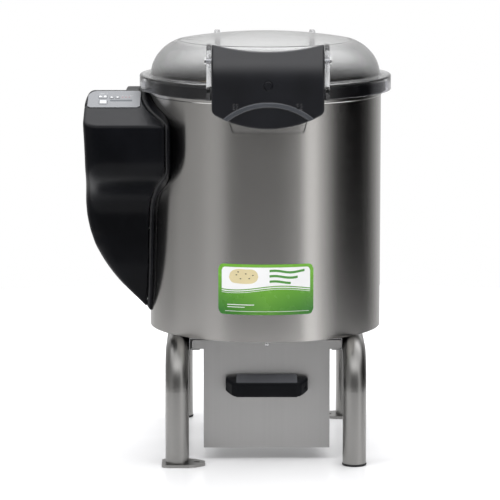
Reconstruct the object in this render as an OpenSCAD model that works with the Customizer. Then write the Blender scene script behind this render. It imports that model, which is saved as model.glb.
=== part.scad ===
/* [Drum] */
// Outer radius of the drum shell
drum_r = 200; // [199.5:0.1:200.5]
// Sheet thickness of the drum shell
drum_t = 1.5; // [1.2:0.1:1.8]
// Height of the drum's lower edge above the floor
drum_z0 = 210; // [209:0.5:210]
// Height of the drum's folded rim above the floor
drum_z1 = 620; // [619:0.5:620]
// Height of the chamber floor above the floor
chamber_z = 392; // [391:0.5:392]
// Inner radius of the abrasive wall liner
liner_r = 191; // [189:0.5:193]

/* [Plate and drive] */
// Radius of the rotating abrasive plate
plate_r = 185; // [180:1:186]
// Thickness of the rotating plate
plate_t = 12; // [10:1:14]
// Radius of the drive shaft
shaft_r = 12; // [11:0.5:12.5]
// Running clearance of a shaft in its bearing
run_gap = 0.05; // [0.03:0.01:0.08]
// Outer radius of the driven pulley
pulley_r = 80; // [76:1:80]
// Outer radius of the motor pulley
motor_pulley_r = 18; // [16:1:18]
// Distance of the motor shaft from the drum axis
motor_x = 252; // [252:1:253]
// Radius of the motor body
motor_r = 45; // [42:1:45]

/* [Lid] */
// Outer radius of the lid's skirt
skirt_r = 217; // [216:0.5:218]
// Wall thickness of the clear lid
lid_t = 3.5; // [3:0.5:4]
// Height of the lid hinge axis above the floor
hinge_z = 650; // [648:1:652]
// Distance of the lid hinge axis behind the drum axis
hinge_y = 232; // [231:1:233]
// Radius of the hinge and latch pins
pin_r = 4; // [3.5:0.5:4]

/* [Latch] */
// Sideways offset of the latch from the drum axis
latch_x = 3; // [0:1:4]
// Half width of the latch cover
latch_w = 93.5; // [91:0.5:93.5]
// Distance of the latch cover's front face from the drum axis
latch_y = 238; // [237:0.5:239]
// Height of the latch pivot above the floor
latch_z = 687; // [685:1:689]

/* [Housing] */
// Wall thickness of the side housing
wall = 3.5; // [3:0.5:4]
// Distance of the housing's front face from the drum axis
box_y = 150; // [150:1:152]
// Width of the keypad panel
pad_w = 90; // [84:1:90]
// Depth of the keypad panel up the slope
pad_d = 68; // [66:1:68]
// Travel of a key
key_travel = 1; // [0.8:0.1:1]

/* [Legs] */
// Outer radius of the leg tube
tube_r = 20; // [19:0.5:20]
// Wall thickness of the leg tube
tube_t = 1.5; // [1.2:0.1:2]
// Sideways distance of a leg from the drum axis
leg_x = 150; // [150:0.5:152]
// Distance of a leg in front of or behind the drum axis
leg_y = 202; // [200:1:204]
// Bend radius of the leg tube
bend_r = 62; // [56:1:66]
// Radius of the bolt holes in the floor plates
floor_hole_r = 5.5; // [4.5:0.5:6.5]

/* [Drawer] */
// Half width of the drawer box
drawer_w = 105; // [102:1:105]
// Distance of the drawer front from the drum axis
drawer_y = 160; // [159:0.5:160]
// Height of the drawer's lower edge above the floor
drawer_z = 21; // [18:1:24]
// Sideways offset of the drawer front from the drum axis
front_x = 1.6; // [0:0.1:2]

/* [Hidden] */
$fn = 96;
r_in = drum_r - drum_t;
plate_z = chamber_z + 12;
slope_y0 = -148; slope_z0 = 571.6;
slope_y1 = -7;   slope_z1 = 619.02;
slope_a = atan2(slope_z1 - slope_z0, slope_y1 - slope_y0);
pad_x = -259.5;
pad_y = -46;
pad_z = slope_z0 + (pad_y - slope_y0) * tan(slope_a);
door_a = 58;
steel = [0.72, 0.72, 0.72];
black = [0.09, 0.09, 0.1];
dark = [0.2, 0.2, 0.22];
clear = [0.8, 0.82, 0.85, 0.35];

// ---------- helpers ----------

// Flat ring
module ring(ro, ri, h) { difference() { cylinder(r = ro, h = h); translate([0, 0, -1]) cylinder(r = ri, h = h + 2); } }

// Rectangle with round corners, centred
module round_rect(w, h, r) {
  union() {
    square([w - 2 * r, h], center = true);
    square([w, h - 2 * r], center = true);
    for (i = [-1, 1], j = [-1, 1]) translate([i * (w / 2 - r), j * (h / 2 - r)]) circle(r = r, $fn = 32);
  }
}

// Frame of the sloped keypad: X across, Y up the slope, Z out of the surface
module on_slope(x, y) { translate([pad_x, pad_y, pad_z]) rotate([slope_a, 0, 0]) translate([x, y, 0]) children(); }

// Frame of the discharge door: X outwards, Y sideways
module at_door() { rotate([0, 0, door_a]) children(); }

// ---------- drum ----------

module drum_openings() {
  // belt slot towards the motor
  translate([-drum_r - 10, -40, 320]) cube([30, 80, 32]);
  // discharge opening
  at_door() translate([150, -60, 431]) cube([60, 120, 110]);
  // water inlet
  translate([-110, 140, 585]) rotate([-90, 0, 0]) cylinder(r = 12, h = 50);
}

module outer_drum() color(steel)
  difference() {
    translate([0, 0, drum_z0]) ring(drum_r, r_in, drum_z1 - 8 - drum_z0);
    drum_openings();
  }

module drum_rim() color(steel)
  translate([0, 0, drum_z1 - 8])
    rotate_extrude() polygon([[196, 0], [drum_r + 0.8, 0], [drum_r + 1.4, 1], [drum_r + 1.5, 2.5], [drum_r + 1.5, 5.5], [drum_r + 1.1, 7.2], [drum_r, 8], [197.6, 8], [196.4, 7.2], [196, 5.5]]);

module base_plate() color(steel)
  translate([0, 0, drum_z0]) difference() {
    cylinder(r = r_in - 0.05, h = 3);
    translate([-60, 92, -1]) cube([120, 50, 5]);
    for (i = [-1, 1], j = [-1, 1]) translate([i * leg_x, j * 80, -1]) cylinder(r = 4, h = 5);
  }

module chamber_floor() color(steel)
  translate([0, 0, chamber_z]) difference() {
    cylinder(r = r_in - 0.05, h = 2.5);
    translate([0, 0, -1]) cylinder(r = 26, h = 5);
    translate([-60, 92, -1]) cube([120, 50, 5]);
  }

module chamber_liner() color([0.35, 0.34, 0.33])
  difference() {
    translate([0, 0, chamber_z + 2.5]) ring(r_in - 0.1, liner_r, drum_z1 - 8.2 - chamber_z - 2.5);
    at_door() translate([150, -60, 431]) cube([60, 120, 110]);
    translate([-110, 140, 585]) rotate([-90, 0, 0]) cylinder(r = 13, h = 60);
  }

module drain_duct() color(steel)
  difference() {
    translate([-61.5, 90.5, drum_z0 + 3]) cube([123, 53, chamber_z - drum_z0 - 3]);
    translate([-60, 92, drum_z0]) cube([120, 50, 200]);
  }

// ---------- bearings ----------

module bearing_housing() color(dark)
  rotate_extrude() polygon([[14, 350], [32, 350], [32, 384], [58, 384], [58, chamber_z], [26, chamber_z], [26, 399], [19, 399], [19, 393], [15, 393], [15, 390], [24, 390], [24, 353], [14, 353]]);

module shaft_bearings() color(steel) {
  translate([0, 0, 353]) ring(24, shaft_r + run_gap, 13);
  translate([0, 0, 377]) ring(24, shaft_r + run_gap, 13);
}

module shaft_seal() color(black) translate([0, 0, 393]) ring(19, shaft_r + run_gap, 6);

// ---------- legs ----------

module tube_section() difference() { circle(r = tube_r); circle(r = tube_r - tube_t); }

module leg_tube(front_z, rear_z) {
  vz = 190 - bend_r;
  yb = leg_y - bend_r;
  difference() {
    union() {
      translate([0, -leg_y, front_z]) linear_extrude(height = vz - front_z) tube_section();
      translate([0, leg_y, rear_z]) linear_extrude(height = vz - rear_z) tube_section();
      for (m = [0, 1]) mirror([0, m, 0]) translate([0, yb, vz]) rotate([90, 0, 90]) rotate_extrude(angle = 90) translate([bend_r, 0]) tube_section();
      translate([0, yb, 190]) rotate([90, 0, 0]) linear_extrude(height = 2 * yb) tube_section();
    }
    for (j = [-1, 1]) translate([0, j * 80, 160]) cylinder(r = 4, h = 60);
  }
}

module left_leg() color(steel) translate([-leg_x, 0, 0]) leg_tube(5, 4);
module right_leg() color(steel) translate([leg_x, 0, 0]) leg_tube(4, 5);

module leg_bolts() color([0.6, 0.6, 0.6])
  for (i = [-1, 1], j = [-1, 1]) translate([i * leg_x, j * 80, 0]) {
    translate([0, 0, 164]) cylinder(r = 4, h = 58);
    translate([0, 0, 162]) cylinder(r = 7.5, h = 7.9, $fn = 6);
    translate([0, 0, drum_z0 + 3]) cylinder(r = 7.5, h = 6.5, $fn = 6);
  }

module floor_plate() difference() {
  linear_extrude(height = 5) polygon([[-26, -19], [-22, -25], [-15, -27], [20, -27], [30, -24], [44, -12], [47, -7], [47, 7], [44, 12], [30, 24], [20, 27], [-15, 27], [-22, 25], [-26, 19]]);
  translate([33, 0, -1]) cylinder(r = floor_hole_r, h = 7);
}

module floor_plates() color(steel) {
  translate([-leg_x, -leg_y, 0]) floor_plate();
  translate([leg_x, leg_y, 0]) rotate([0, 0, 180]) floor_plate();
}

// Plug pressed into the tube's end, with a thin flange on the floor
module rubber_foot() union() { cylinder(r = tube_r + 0.8, h = 4); cylinder(r = tube_r - tube_t - run_gap, h = 18); }

module rubber_feet() color(black) {
  translate([leg_x, -leg_y, 0]) rubber_foot();
  translate([-leg_x, leg_y, 0]) rubber_foot();
}

module rail() {
  translate([112, -drawer_y, 208.8]) cube([17.7, 318, drum_z0 - 208.8]);
  translate([128.5, -drawer_y, 189.8]) cube([1.2, 318, 19.2]);
  translate([112, -drawer_y, 189.8]) cube([17.7, 318, 1.2]);
}
module right_rail() color(steel) rail();
module left_rail() color(steel) mirror([1, 0, 0]) rail();

// ---------- side housing ----------

function box_front() = [[-33, 235], [-40, 255], [-47, 280], [-53, 320], [-57, 370], [-61, 412], [-67, 432], [-78, 445], [-92, 455], [-106, 463], [-125, 475],
  [-136, 485], [-143, 495], [-148, 508], [-box_y, 522], [-box_y, 562], [-149.4, 567], [-148, 571.6]];

module box_side_outline() polygon(concat(box_front(), [[slope_y1, slope_z1], [20, 612], [60, 605.5], [88, 599], [102, 591], [110, 578], [110, 420], [104, 370], [88, 310], [66, 266], [43.5, 235]]));

module box_front_outline() polygon([[-120, 621], [-292, 621], [-299, 615.8], [-305, 610.5], [-309, 604.5], [-310.3, 597], [-309.6, 570], [-308, 541], [-307, 515], [-307, 480], [-309, 455], [-309.8, 431], [-308.2, 405], [-303, 378.5], [-294, 352.3], [-279, 326], [-267, 308.5], [-252.8, 290.9], [-236, 273.3], [-225.5, 262.8], [-218, 255.8], [-206.6, 243.4], [-199, 236], [-120, 236]]);

module box_plan_outline() polygon(concat(
  [[-155, -100], [-158, -126], [-160.5, -138], [-166, -146], [-176, -box_y - 1]],
  [for (t = [0:15:90]) [-287 - 24 * sin(t), -box_y - 1 + 24 - 24 * cos(t)]],
  [for (t = [0:15:90]) [-289 - 22 * cos(t), 88 + 22 * sin(t)]],
  [[-150, 110], [-120, 60]]));

module housing_block(d) intersection() {
  translate([0, 140, 0]) rotate([90, 0, 0]) linear_extrude(height = 320) offset(delta = -d) box_front_outline();
  translate([-340, 0, 0]) rotate([90, 0, 90]) linear_extrude(height = 230) offset(delta = -d) box_side_outline();
  translate([0, 0, 200]) linear_extrude(height = 460) offset(delta = -d) box_plan_outline();
}

module housing_shell() difference() { housing_block(0); housing_block(wall); translate([0, 0, 200]) cylinder(r = drum_r, h = 440); }

module drum_zone(r) translate([0, 0, 200]) cylinder(r = r, h = 440);

// Part of the housing that stays on the drum, up to the seam; narrow below, wide above
module seam_zone(r, x) union() {
  translate([0, 0, 200]) rotate_extrude() polygon([[0, 0], [r - 8.5, 0], [r - 8.5, 248], [r, 274], [r, 440], [0, 440]]);
  translate([x, -200, 200]) cube([100, 100, 440]);
}

module housing_base() color(dark) difference() {
  intersection() { housing_shell(); seam_zone(214, -173); }
  // room for the drum's folded rim
  translate([0, 0, 611.7]) cylinder(r = drum_r + 2, h = 20);
}

module housing_gasket() color(black) intersection() { difference() { housing_block(0.8); housing_block(wall - 0.4); seam_zone(214, -173); } seam_zone(216, -175); }

module gland_place() translate([-225, 110, 450]) rotate([-90, 0, 0]) children();
module screw_places() for (p = [[-292, 560], [-292, 440], [-215, 560]]) translate([p[0], 110, p[1]]) rotate([-90, 0, 0]) children();

module pad_outline(d) polygon([[-pad_w / 2 + 5 + d, -pad_d / 2 + d], [pad_w / 2 - 5 - d, -pad_d / 2 + d], [pad_w / 2 - d, -pad_d / 2 + 5 + d], [pad_w / 2 - d, pad_d / 2 - 4 - d], [pad_w / 2 - 4 - d, pad_d / 2 - d],
  [-pad_w / 2 + 14 + d, pad_d / 2 - d], [-pad_w / 2 + 7 + d, pad_d / 2 - 4 - d], [-pad_w / 2 + 3 + d, pad_d / 2 - 10 - d], [-pad_w / 2 + d, pad_d / 2 - 18 - d], [-pad_w / 2 + d, -pad_d / 2 + 5 + d]]);

module housing_cover() color(black) difference() {
  union() {
    difference() { housing_shell(); seam_zone(216, -175); }
    // raised lid of the wiring bay behind the keypad
    difference() {
      translate([-243, -6, 612]) rotate([90, 0, 90]) linear_extrude(height = 28) polygon([[0, -2], [98, -22], [98, -12], [88, 1.5], [70, 5.8], [10, 5.8], [0, 3.2]]);
      drum_zone(219);
      housing_block(wall);
    }
  }
  on_slope(0, 0) translate([0, 0, -1.5]) linear_extrude(height = 10) pad_outline(0);
  on_slope(2, -3) translate([-35, -25, -12]) cube([70, 50, 20]);
  gland_place() translate([0, 0, -8]) cylinder(r = 8, h = 12);
  screw_places() translate([0, 0, -6]) cylinder(r = 2, h = 10);
}

module housing_screws() color([0.3, 0.3, 0.32]) screw_places() {
  translate([0, 0, -9]) cylinder(r = 2, h = 9.5);
  cylinder(r = 4.2, h = 2);
}

// ---------- keypad ----------

key_at = [[-19.5, 9], [-18.5, -13], [-4.5, 6], [5.5, 6]];
key_size = [[14, 14], [14, 17], [7, 9], [7, 9]];

module key_holes(g) for (i = [0:3]) on_slope(key_at[i][0], key_at[i][1]) translate([0, 0, -6]) linear_extrude(height = 12) round_rect(key_size[i][0] + 2 * g, key_size[i][1] + 2 * g, 2 + g);

module led_places() for (i = [0:2]) on_slope(14 + i * 6, 7) children();

module keypad_panel() color([0.75, 0.76, 0.78]) difference() {
  union() {
    on_slope(0, 0) translate([0, 0, -1.5]) linear_extrude(height = 2.3) pad_outline(0.15);
    on_slope(0, 0) for (p = [[-30, -25], [34, -25], [-30, 19], [34, 19]]) translate([p[0], p[1], -7.6]) cylinder(r = 2, h = 6.5);
  }
  key_holes(0.4);
  led_places() translate([0, 0, -4]) cylinder(r = 1.6, h = 8);
}

module status_leds() color([0.8, 0.25, 0.2]) led_places() translate([0, 0, -5]) { cylinder(r = 1.6, h = 6.1); translate([0, 0, -2.6]) cylinder(r = 2, h = 2.7); }

module control_board() color([0.1, 0.35, 0.2]) on_slope(2, -3) {
  translate([-34, -24, -9.2]) cube([68, 48, 1.6]);
  translate([-24, -22, -17]) cube([20, 15, 7.8]);
  translate([4, -20, -15]) cube([14, 12, 5.8]);
}

module key(i) on_slope(key_at[i][0], key_at[i][1]) {
  translate([0, 0, -2.6]) linear_extrude(height = 3 + key_travel) round_rect(key_size[i][0], key_size[i][1], 2);
  translate([0, 0, -3.6]) linear_extrude(height = 1.6) round_rect(key_size[i][0] + 2.4, key_size[i][1] + 2.4, 2);
  translate([0, 0, -5.6]) cylinder(r = 2, h = 3);
}
module key_start() color([0.25, 0.6, 0.35]) key(0);
module key_stop() color([0.75, 0.25, 0.22]) key(1);
module key_up() color([0.9, 0.9, 0.92]) key(2);
module key_down() color([0.9, 0.9, 0.92]) key(3);

// ---------- motor and belt ----------

module at_motor() translate([-motor_x, 0, 0]) children();

module motor_bracket() color(steel) difference() {
  union() {
    difference() { translate([-292, -50, 382]) cube([110, 100, 6]); drum_zone(drum_r); }
    intersection() { difference() { drum_zone(drum_r + 3.5); drum_zone(drum_r); } translate([-220, -50, 386]) cube([60, 100, 46]); }
  }
  at_motor() cylinder(r = 9, h = 500);
}

module motor_stator() color([0.45, 0.47, 0.5]) at_motor() difference() {
  union() {
    translate([0, 0, 396]) cylinder(r = motor_r - 4, h = 134);
    for (i = [0:8]) translate([0, 0, 400 + i * 14.5]) cylinder(r = motor_r, h = 7);
  }
  translate([0, 0, 390]) cylinder(r = 27, h = 150);
}

module motor_shields() color([0.55, 0.56, 0.58]) at_motor() for (z = [388, 530]) translate([0, 0, z]) ring(motor_r, 7 + run_gap, 8);

module motor_rotor() color(steel) at_motor() {
  translate([0, 0, 322]) cylinder(r = 7, h = 231);
  translate([0, 0, 405]) cylinder(r = 26.4, h = 115);
}

module motor_pulley() color(dark) at_motor() rotate_extrude() polygon(concat([[7, 328], [motor_pulley_r, 328]],
  [for (i = [0:4]) each [[motor_pulley_r, 329 + i * 3.2], [motor_pulley_r - 1.4, 330.6 + i * 3.2]]], [[motor_pulley_r, 345], [motor_pulley_r, 346], [7, 346]]));

module cooling_fan() color(black) at_motor() difference() {
  union() {
    translate([0, 0, 541]) cylinder(r = 13, h = 10);
    translate([0, 0, 541]) cylinder(r = 37, h = 2);
    for (a = [0:45:315]) rotate([0, 0, a]) translate([11, -1, 541]) cube([25, 2, 9]);
  }
  translate([0, 0, 530]) cylinder(r = 7, h = 40);
}

module driven_pulley() color(dark) rotate_extrude() polygon(concat([[shaft_r, 326], [22, 326], [22, 335], [pulley_r - 7, 335], [pulley_r - 7, 328], [pulley_r, 328]],
  [for (i = [0:4]) each [[pulley_r, 329 + i * 3.2], [pulley_r - 1.4, 330.6 + i * 3.2]]], [[pulley_r, 345], [pulley_r, 346], [pulley_r - 7, 346], [pulley_r - 7, 339], [22, 339], [22, 347], [shaft_r, 347]]));

module belt_loop(g) hull() { circle(r = pulley_r + g); translate([-motor_x, 0]) circle(r = motor_pulley_r + g); }
module drive_belt() color(black) translate([0, 0, 329.5]) linear_extrude(height = 15) difference() { belt_loop(3.2); belt_loop(0.5); }

module run_capacitor() color([0.85, 0.85, 0.82]) {
  translate([-262, 76, 470]) cylinder(r = 17, h = 66);
  translate([-262, 76, 536]) cylinder(r = 6, h = 5);
  difference() { translate([-272, 78, 490]) cube([20, 28.4, 20]); translate([-262, 76, 480]) cylinder(r = 17, h = 40); }
}

module cable_gland() color(black) difference() {
  gland_place() union() { cylinder(r = 13, h = 6, $fn = 6); translate([0, 0, 6]) cylinder(r = 10.5, h = 13); translate([0, 0, -14]) cylinder(r = 8, h = 14.5); translate([0, 0, -9.6]) cylinder(r = 11, h = 6, $fn = 6); }
  gland_place() translate([0, 0, -20]) cylinder(r = 5, h = 50);
}

// ---------- shaft and plate ----------

module main_shaft() color(steel) {
  translate([0, 0, 320]) cylinder(r = shaft_r, h = 80);
  translate([0, 0, 399.9]) cylinder(r = 10, h = plate_z + plate_t + 5 - 399.9, $fn = 6);
}

module abrasive_plate() color([0.3, 0.29, 0.28]) difference() {
  union() {
    translate([0, 0, plate_z]) cylinder(r = plate_r, h = plate_t);
    translate([0, 0, 400.4]) cylinder(r = 24, h = 6);
    translate([0, 0, plate_z + plate_t]) rotate_extrude() polygon([[0, 0], [26, 0], [24, 5], [18, 9], [10, 11], [0, 11]]);
    for (a = [0:120:240]) rotate([0, 0, a]) intersection() {
      translate([18, 0, plate_z + plate_t - 22]) rotate([0, 90, 0]) rotate([0, 0, 90]) translate([0, 0, 0]) linear_extrude(height = 158) intersection() { circle(r = 38); translate([-40, 20]) square([80, 30]); }
      translate([0, 0, plate_z]) cylinder(r = plate_r - 4, h = 60);
    }
  }
  translate([0, 0, 395]) cylinder(r = 10.4, h = plate_z + plate_t + 5.4 - 395, $fn = 6);
}

// ---------- lid ----------

function crown(r) = 718 - (870.5 - sqrt(870.5 * 870.5 - r * r));
function dome_out() = concat([for (r = [0:25:150]) [r, crown(r)]],
  [[153.5, 703.9], [162, 700], [166.5, 697.6], [171, 694.9], [175, 691.6], [178.8, 687.9], [183, 683.3], [186.6, 679], [189.5, 674.6], [192, 670.2], [194, 665.8], [195.5, 661.4], [196.5, 657.4], [197, 653.6], [197.6, 650], [199.5, 647.2], [202, 646], [skirt_r - 2, 646], [skirt_r - 0.6, 645.4], [skirt_r, 644]]);
function inner(p, d) = [for (q = p) [max(0, q[0] - d * (q[0] > 150 ? 0.93 : q[0] / 400)), q[1] - d * (q[0] > 186 ? (q[0] > 198 ? 1 : 0.35) : (q[0] > 150 ? 0.72 : 1))]];

module dome_solid() rotate_extrude() polygon(concat(dome_out(), [[skirt_r, 619], [0, 619]]));
module dome_cavity() rotate_extrude() polygon(concat(
  [for (r = [0:25:150]) [r, crown(r) - lid_t]],
  [[152.2, 700.6], [160.3, 696.9], [168.9, 692.1], [176.2, 685.6], [183.8, 677.2], [188.9, 668.6], [192.1, 660.5], [193.4, 653.4], [194, 649.4], [195.5, 645], [199, 642.5], [skirt_r - lid_t, 642.5], [skirt_r - lid_t, 610], [0, 610]]));

module front_wing() rotate([90, 0, 90]) linear_extrude(height = 8) polygon([[-120, 690], [-128, 703], [-150, 710], [-185, 713.5], [-212, 713], [-225, 709], [-233, 701], [-236.5, 690], [-237, 660], [-234, 640], [-228, 626], [-222, 621.5], [-190, 621], [-160, 640]]);

module rear_wing() rotate([90, 0, 90]) linear_extrude(height = 9.4) polygon([[110, 690], [120, 704], [150, 708.5], [190, 706], [212, 700], [228, 688], [240, 668], [244, 656], [244.5, 648], [242, 641], [236, 636.5], [229, 636.2], [222, 640], [212, 644], [190, 640], [160, 650]]);

module lid_dome() color(clear) difference() {
  union() {
    difference() { dome_solid(); translate([0, 0, 600]) cylinder(r = 240, h = 20.5); }
    for (s = [-1, 1]) translate([latch_x + s * 98.2 - 4, 0, 0]) front_wing();
    for (s = [-1, 1]) translate([s * 84.5 - 4.7, 0, 0]) rear_wing();
    // front lip
    intersection() {
      translate([0, 0, 560]) ring(206.6, 203, 74);
      translate([latch_x + 1, -150, 0]) rotate([90, 0, 0]) linear_extrude(height = 70) polygon([[-71, 650], [-69, 600], [-66, 579], [-62.3, 566.5], [-61, 564.8], [-58.5, 564], [58.5, 564], [61, 564.8], [62.3, 566.5], [66, 579], [69, 600], [71, 650]]);
    }
  }
  difference() {
    dome_cavity();
    // land that carries the front lip
    intersection() {
      union() { translate([0, 0, 560]) ring(skirt_r, 203, 74); translate([0, 0, 560]) ring(skirt_r, 204.8, 100); }
      translate([latch_x + 1 - 72, -240, 560]) cube([144, 100, 90]);
    }
    intersection() { translate([0, 0, 560]) ring(213.8, 203, 57); translate([-80, -240, 560]) cube([160, 100, 90]); }
  }
  for (s = [-1, 1]) translate([latch_x + s * 98.2 - 6, -215, latch_z]) rotate([0, 90, 0]) cylinder(r = pin_r, h = 12);
  for (s = [-1, 1]) translate([s * 84.5 - 6, hinge_y, hinge_z]) rotate([0, 90, 0]) cylinder(r = pin_r + run_gap, h = 12);
  // room below the skirt in front, outside the lip
  translate([0, 0, 500]) difference() { cylinder(r = 230, h = 120.5); cylinder(r = 206.6, h = 130); }
}

module lid_gasket() color(black) translate([0, 0, 620.5]) difference() {
  rotate_extrude() polygon([[193, 0], [208, 0], [208, 17], [206, 22], [199, 22], [198, 6], [193, 4]]);
  // room for the land of the front lip
  difference() {
    translate([latch_x + 1 - 73, -240, -1]) cube([146, 100, 30]);
    translate([0, 0, -2]) cylinder(r = 202.6, h = 32);
  }
}

module latch_pins() color(steel) for (s = [-1, 1]) translate([latch_x, -215, latch_z]) rotate([0, s * 90, 0]) {
  translate([0, 0, 62]) cylinder(r = pin_r, h = 40.4);
  translate([0, 0, 102.2]) cylinder(r = 7, h = 3.4);
}

module latch_profile(d) polygon([[-latch_y + d, 560], [-latch_y + d, 662], [-latch_y + 0.6 + d, 667], [-latch_y + 2.2 + d, 671.5], [-206.6 + d, 714.5], [-204.8 + d * 0.9, 716 - d * 0.5], [-203 + d * 0.9, 716 - d * 0.5], [-203, 700], [-206.5, 680], [-224, 655], [-225, 640], [-225, 560]]);

function latch_edge(x, d) = 457 - sqrt((355 + d) * (355 + d) - x * x);
module latch_outline(d) polygon(concat(
  // lower edge: wide arc
  [for (i = [-6:6]) let (t = i * 4.76) [(180 - d) * sin(t), 155.5 - (180 - d) * cos(t)]],
  // right shoulder, upper corner, hollow upper edge, left corner and shoulder
  [for (i = [0:6]) let (t = -61.44 + i * 10.24) [latch_w - 14 + (14 - d) * cos(t), 9.4 + (14 - d) * sin(t)]],
  [[latch_w - d, 111 - d], [latch_w - d - 1, 113.8 - d]],
  [for (i = [-8:8]) let (x = -i * (latch_w - 3 - d) / 8) [x, latch_edge(x, d)]],
  [[-latch_w + d + 1, 113.8 - d], [-latch_w + d, 111 - d]],
  [for (i = [6:-1:0]) let (t = -61.44 + i * 10.24) [-(latch_w - 14) - (14 - d) * cos(t), 9.4 + (14 - d) * sin(t)]]));

module latch_body(d) intersection() {
  translate([latch_x - 120, 0, 0]) rotate([90, 0, 90]) linear_extrude(height = 240) latch_profile(d);
  translate([latch_x, -150, 600]) rotate([90, 0, 0]) linear_extrude(height = 120) latch_outline(d);
}

module latch_cover() color(black) difference() {
  union() {
    difference() {
      latch_body(0);
      // open back
      intersection() {
        translate([latch_x - 120, 0, 0]) rotate([90, 0, 90]) linear_extrude(height = 240) polygon([[-latch_y + 4, 550], [-latch_y + 4, 662], [-latch_y + 6, 670], [-206, 708], [-190, 708], [-190, 550]]);
        translate([latch_x, -150, 600]) rotate([90, 0, 0]) linear_extrude(height = 120) latch_outline(4);
      }
    }
    // pivot bosses
    for (s = [-1, 1]) translate([latch_x + s * 85.5 - 8, -215, latch_z]) rotate([0, 90, 0]) cylinder(r = 8, h = 16);
    // arch rib on the front
    intersection() {
      translate([latch_x + 1, -latch_y + 2, 503]) rotate([90, 0, 0]) ring(117, 110, 4);
      translate([latch_x, -150, 600]) rotate([90, 0, 0]) linear_extrude(height = 120) latch_outline(0);
    }
  }
  // finger room, open below
  translate([latch_x - 58, -latch_y + 4, 560]) cube([116, 30, 30]);
  for (s = [-1, 1]) translate([latch_x + s * 85.5 - 12, -215, latch_z]) rotate([0, 90, 0]) cylinder(r = pin_r + run_gap, h = 24);
  // pocket round the spring
  translate([latch_x + 64.6, -215, latch_z]) rotate([0, 90, 0]) cylinder(r = 6.5, h = 11.9);
  translate([latch_x, -latch_y - 1, 648]) rotate([-90, 0, 0]) cylinder(r = 7.6, h = 2.6);
}

module latch_cap() color(dark) translate([latch_x, -latch_y + 1.6, 648]) rotate([90, 0, 0]) rotate_extrude() polygon([[0, 0], [7, 0], [7, 1.6], [6.2, 2.6], [5, 2.4], [0, 1.6]]);

module latch_magnet() color([0.5, 0.5, 0.52]) translate([latch_x - 78, -latch_y + 4, 610]) rotate([-90, 0, 0]) cylinder(r = 6, h = 5);

module latch_spring() color(steel) for (i = [0:5]) translate([latch_x + 66 + i * 1.7, -215, latch_z]) rotate([0, 90, 0]) rotate_extrude() translate([5.3, 0]) circle(r = 0.6, $fn = 16);

// ---------- lid hinge ----------

module hinge_bracket() color(black) difference() {
  union() {
    difference() {
      translate([-76, 170, 562]) cube([152, 58, 50]);
      drum_zone(drum_r);
      // sloping back face
      translate([-80, 228, 560]) rotate([22, 0, 0]) cube([160, 40, 80]);
    }
    for (s = [-1, 1]) translate([s * 70 - 6, 0, 0]) rotate([90, 0, 90]) linear_extrude(height = 12) polygon([[206, 562], [220, 562], [238, 600], [245, 640], [245, 652], [241, 659], [235, 662], [228, 661.6], [222, 658], [219.5, 650], [219.5, 612], [206, 612]]);
  }
  translate([-90, hinge_y, hinge_z]) rotate([0, 90, 0]) cylinder(r = pin_r, h = 180);
  for (i = [-1, 1]) translate([i * 50, 170, 580]) rotate([-90, 0, 0]) cylinder(r = 3, h = 80);
}

module hinge_pin() color(steel) {
  translate([-90, hinge_y, hinge_z]) rotate([0, 90, 0]) cylinder(r = pin_r, h = 180);
  for (s = [-1, 1]) translate([s * 91 - 1.5, hinge_y, hinge_z]) rotate([0, 90, 0]) cylinder(r = 6.5, h = 3);
}

module water_inlet() color([0.8, 0.7, 0.4]) translate([-110, 0, 585]) rotate([-90, 0, 0]) difference() {
  union() {
    translate([0, 0, 158]) cylinder(r = 12, h = 30);
    translate([0, 0, 186]) cylinder(r = 17, h = 6, $fn = 6);
    translate([0, 0, 192]) cylinder(r = 13.2, h = 18);
    translate([0, 0, 152]) cylinder(r = 8, h = 10);
  }
  translate([0, 0, 150]) cylinder(r = 6, h = 70);
}

module badge() color([0.3, 0.6, 0.25]) intersection() {
  translate([0, 0, 250]) ring(drum_r + 0.6, drum_r, 110);
  translate([0, -150, 300]) rotate([90, 0, 0]) linear_extrude(height = 60) round_rect(164.6, 86, 9);
}

// ---------- discharge chute and door ----------

module chute_frame() color(steel) at_door() difference() {
  union() {
    difference() { translate([150, -64, 427]) cube([80, 128, 118]); drum_zone(drum_r); }
    translate([226, -74, 418]) cube([4, 148, 136]);
    for (z = [424, 528]) { translate([226, 70, z]) cube([14, 20, 20]); translate([240, 84, z]) cylinder(r = 7, h = 20); }
    // hinge pin, pressed into both knuckles
    translate([240, 84, 426]) cylinder(r = 4, h = 120);
  }
  translate([150, -60, 431]) cube([100, 120, 110]);
}

module discharge_door() color(steel) at_door() difference() {
  union() {
    translate([233, -74, 418]) cube([6, 142, 136]);
    translate([236, 60, 447]) cube([3, 24, 78]);
    translate([240, 84, 447]) cylinder(r = 7, h = 78);
  }
  translate([240, 84, 440]) cylinder(r = 4 + run_gap, h = 100);
  translate([220, -56, 486]) rotate([0, 90, 0]) cylinder(r = 4, h = 40);
}

module door_gasket() color(black) at_door() translate([230.4, 0, 486]) rotate([90, 0, 90]) linear_extrude(height = 2.6) difference() { round_rect(132, 122, 8); round_rect(120, 110, 4); }

module door_knob() color(black) at_door() translate([232, -56, 486]) rotate([0, 90, 0]) union() {
  cylinder(r = 4, h = 9);
  translate([0, 0, 7]) rotate_extrude() polygon([[0, 0], [10, 0], [9, 8], [14, 16], [17, 20], [17, 27], [14, 30], [0, 31]]);
}

// ---------- drawer ----------

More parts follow.
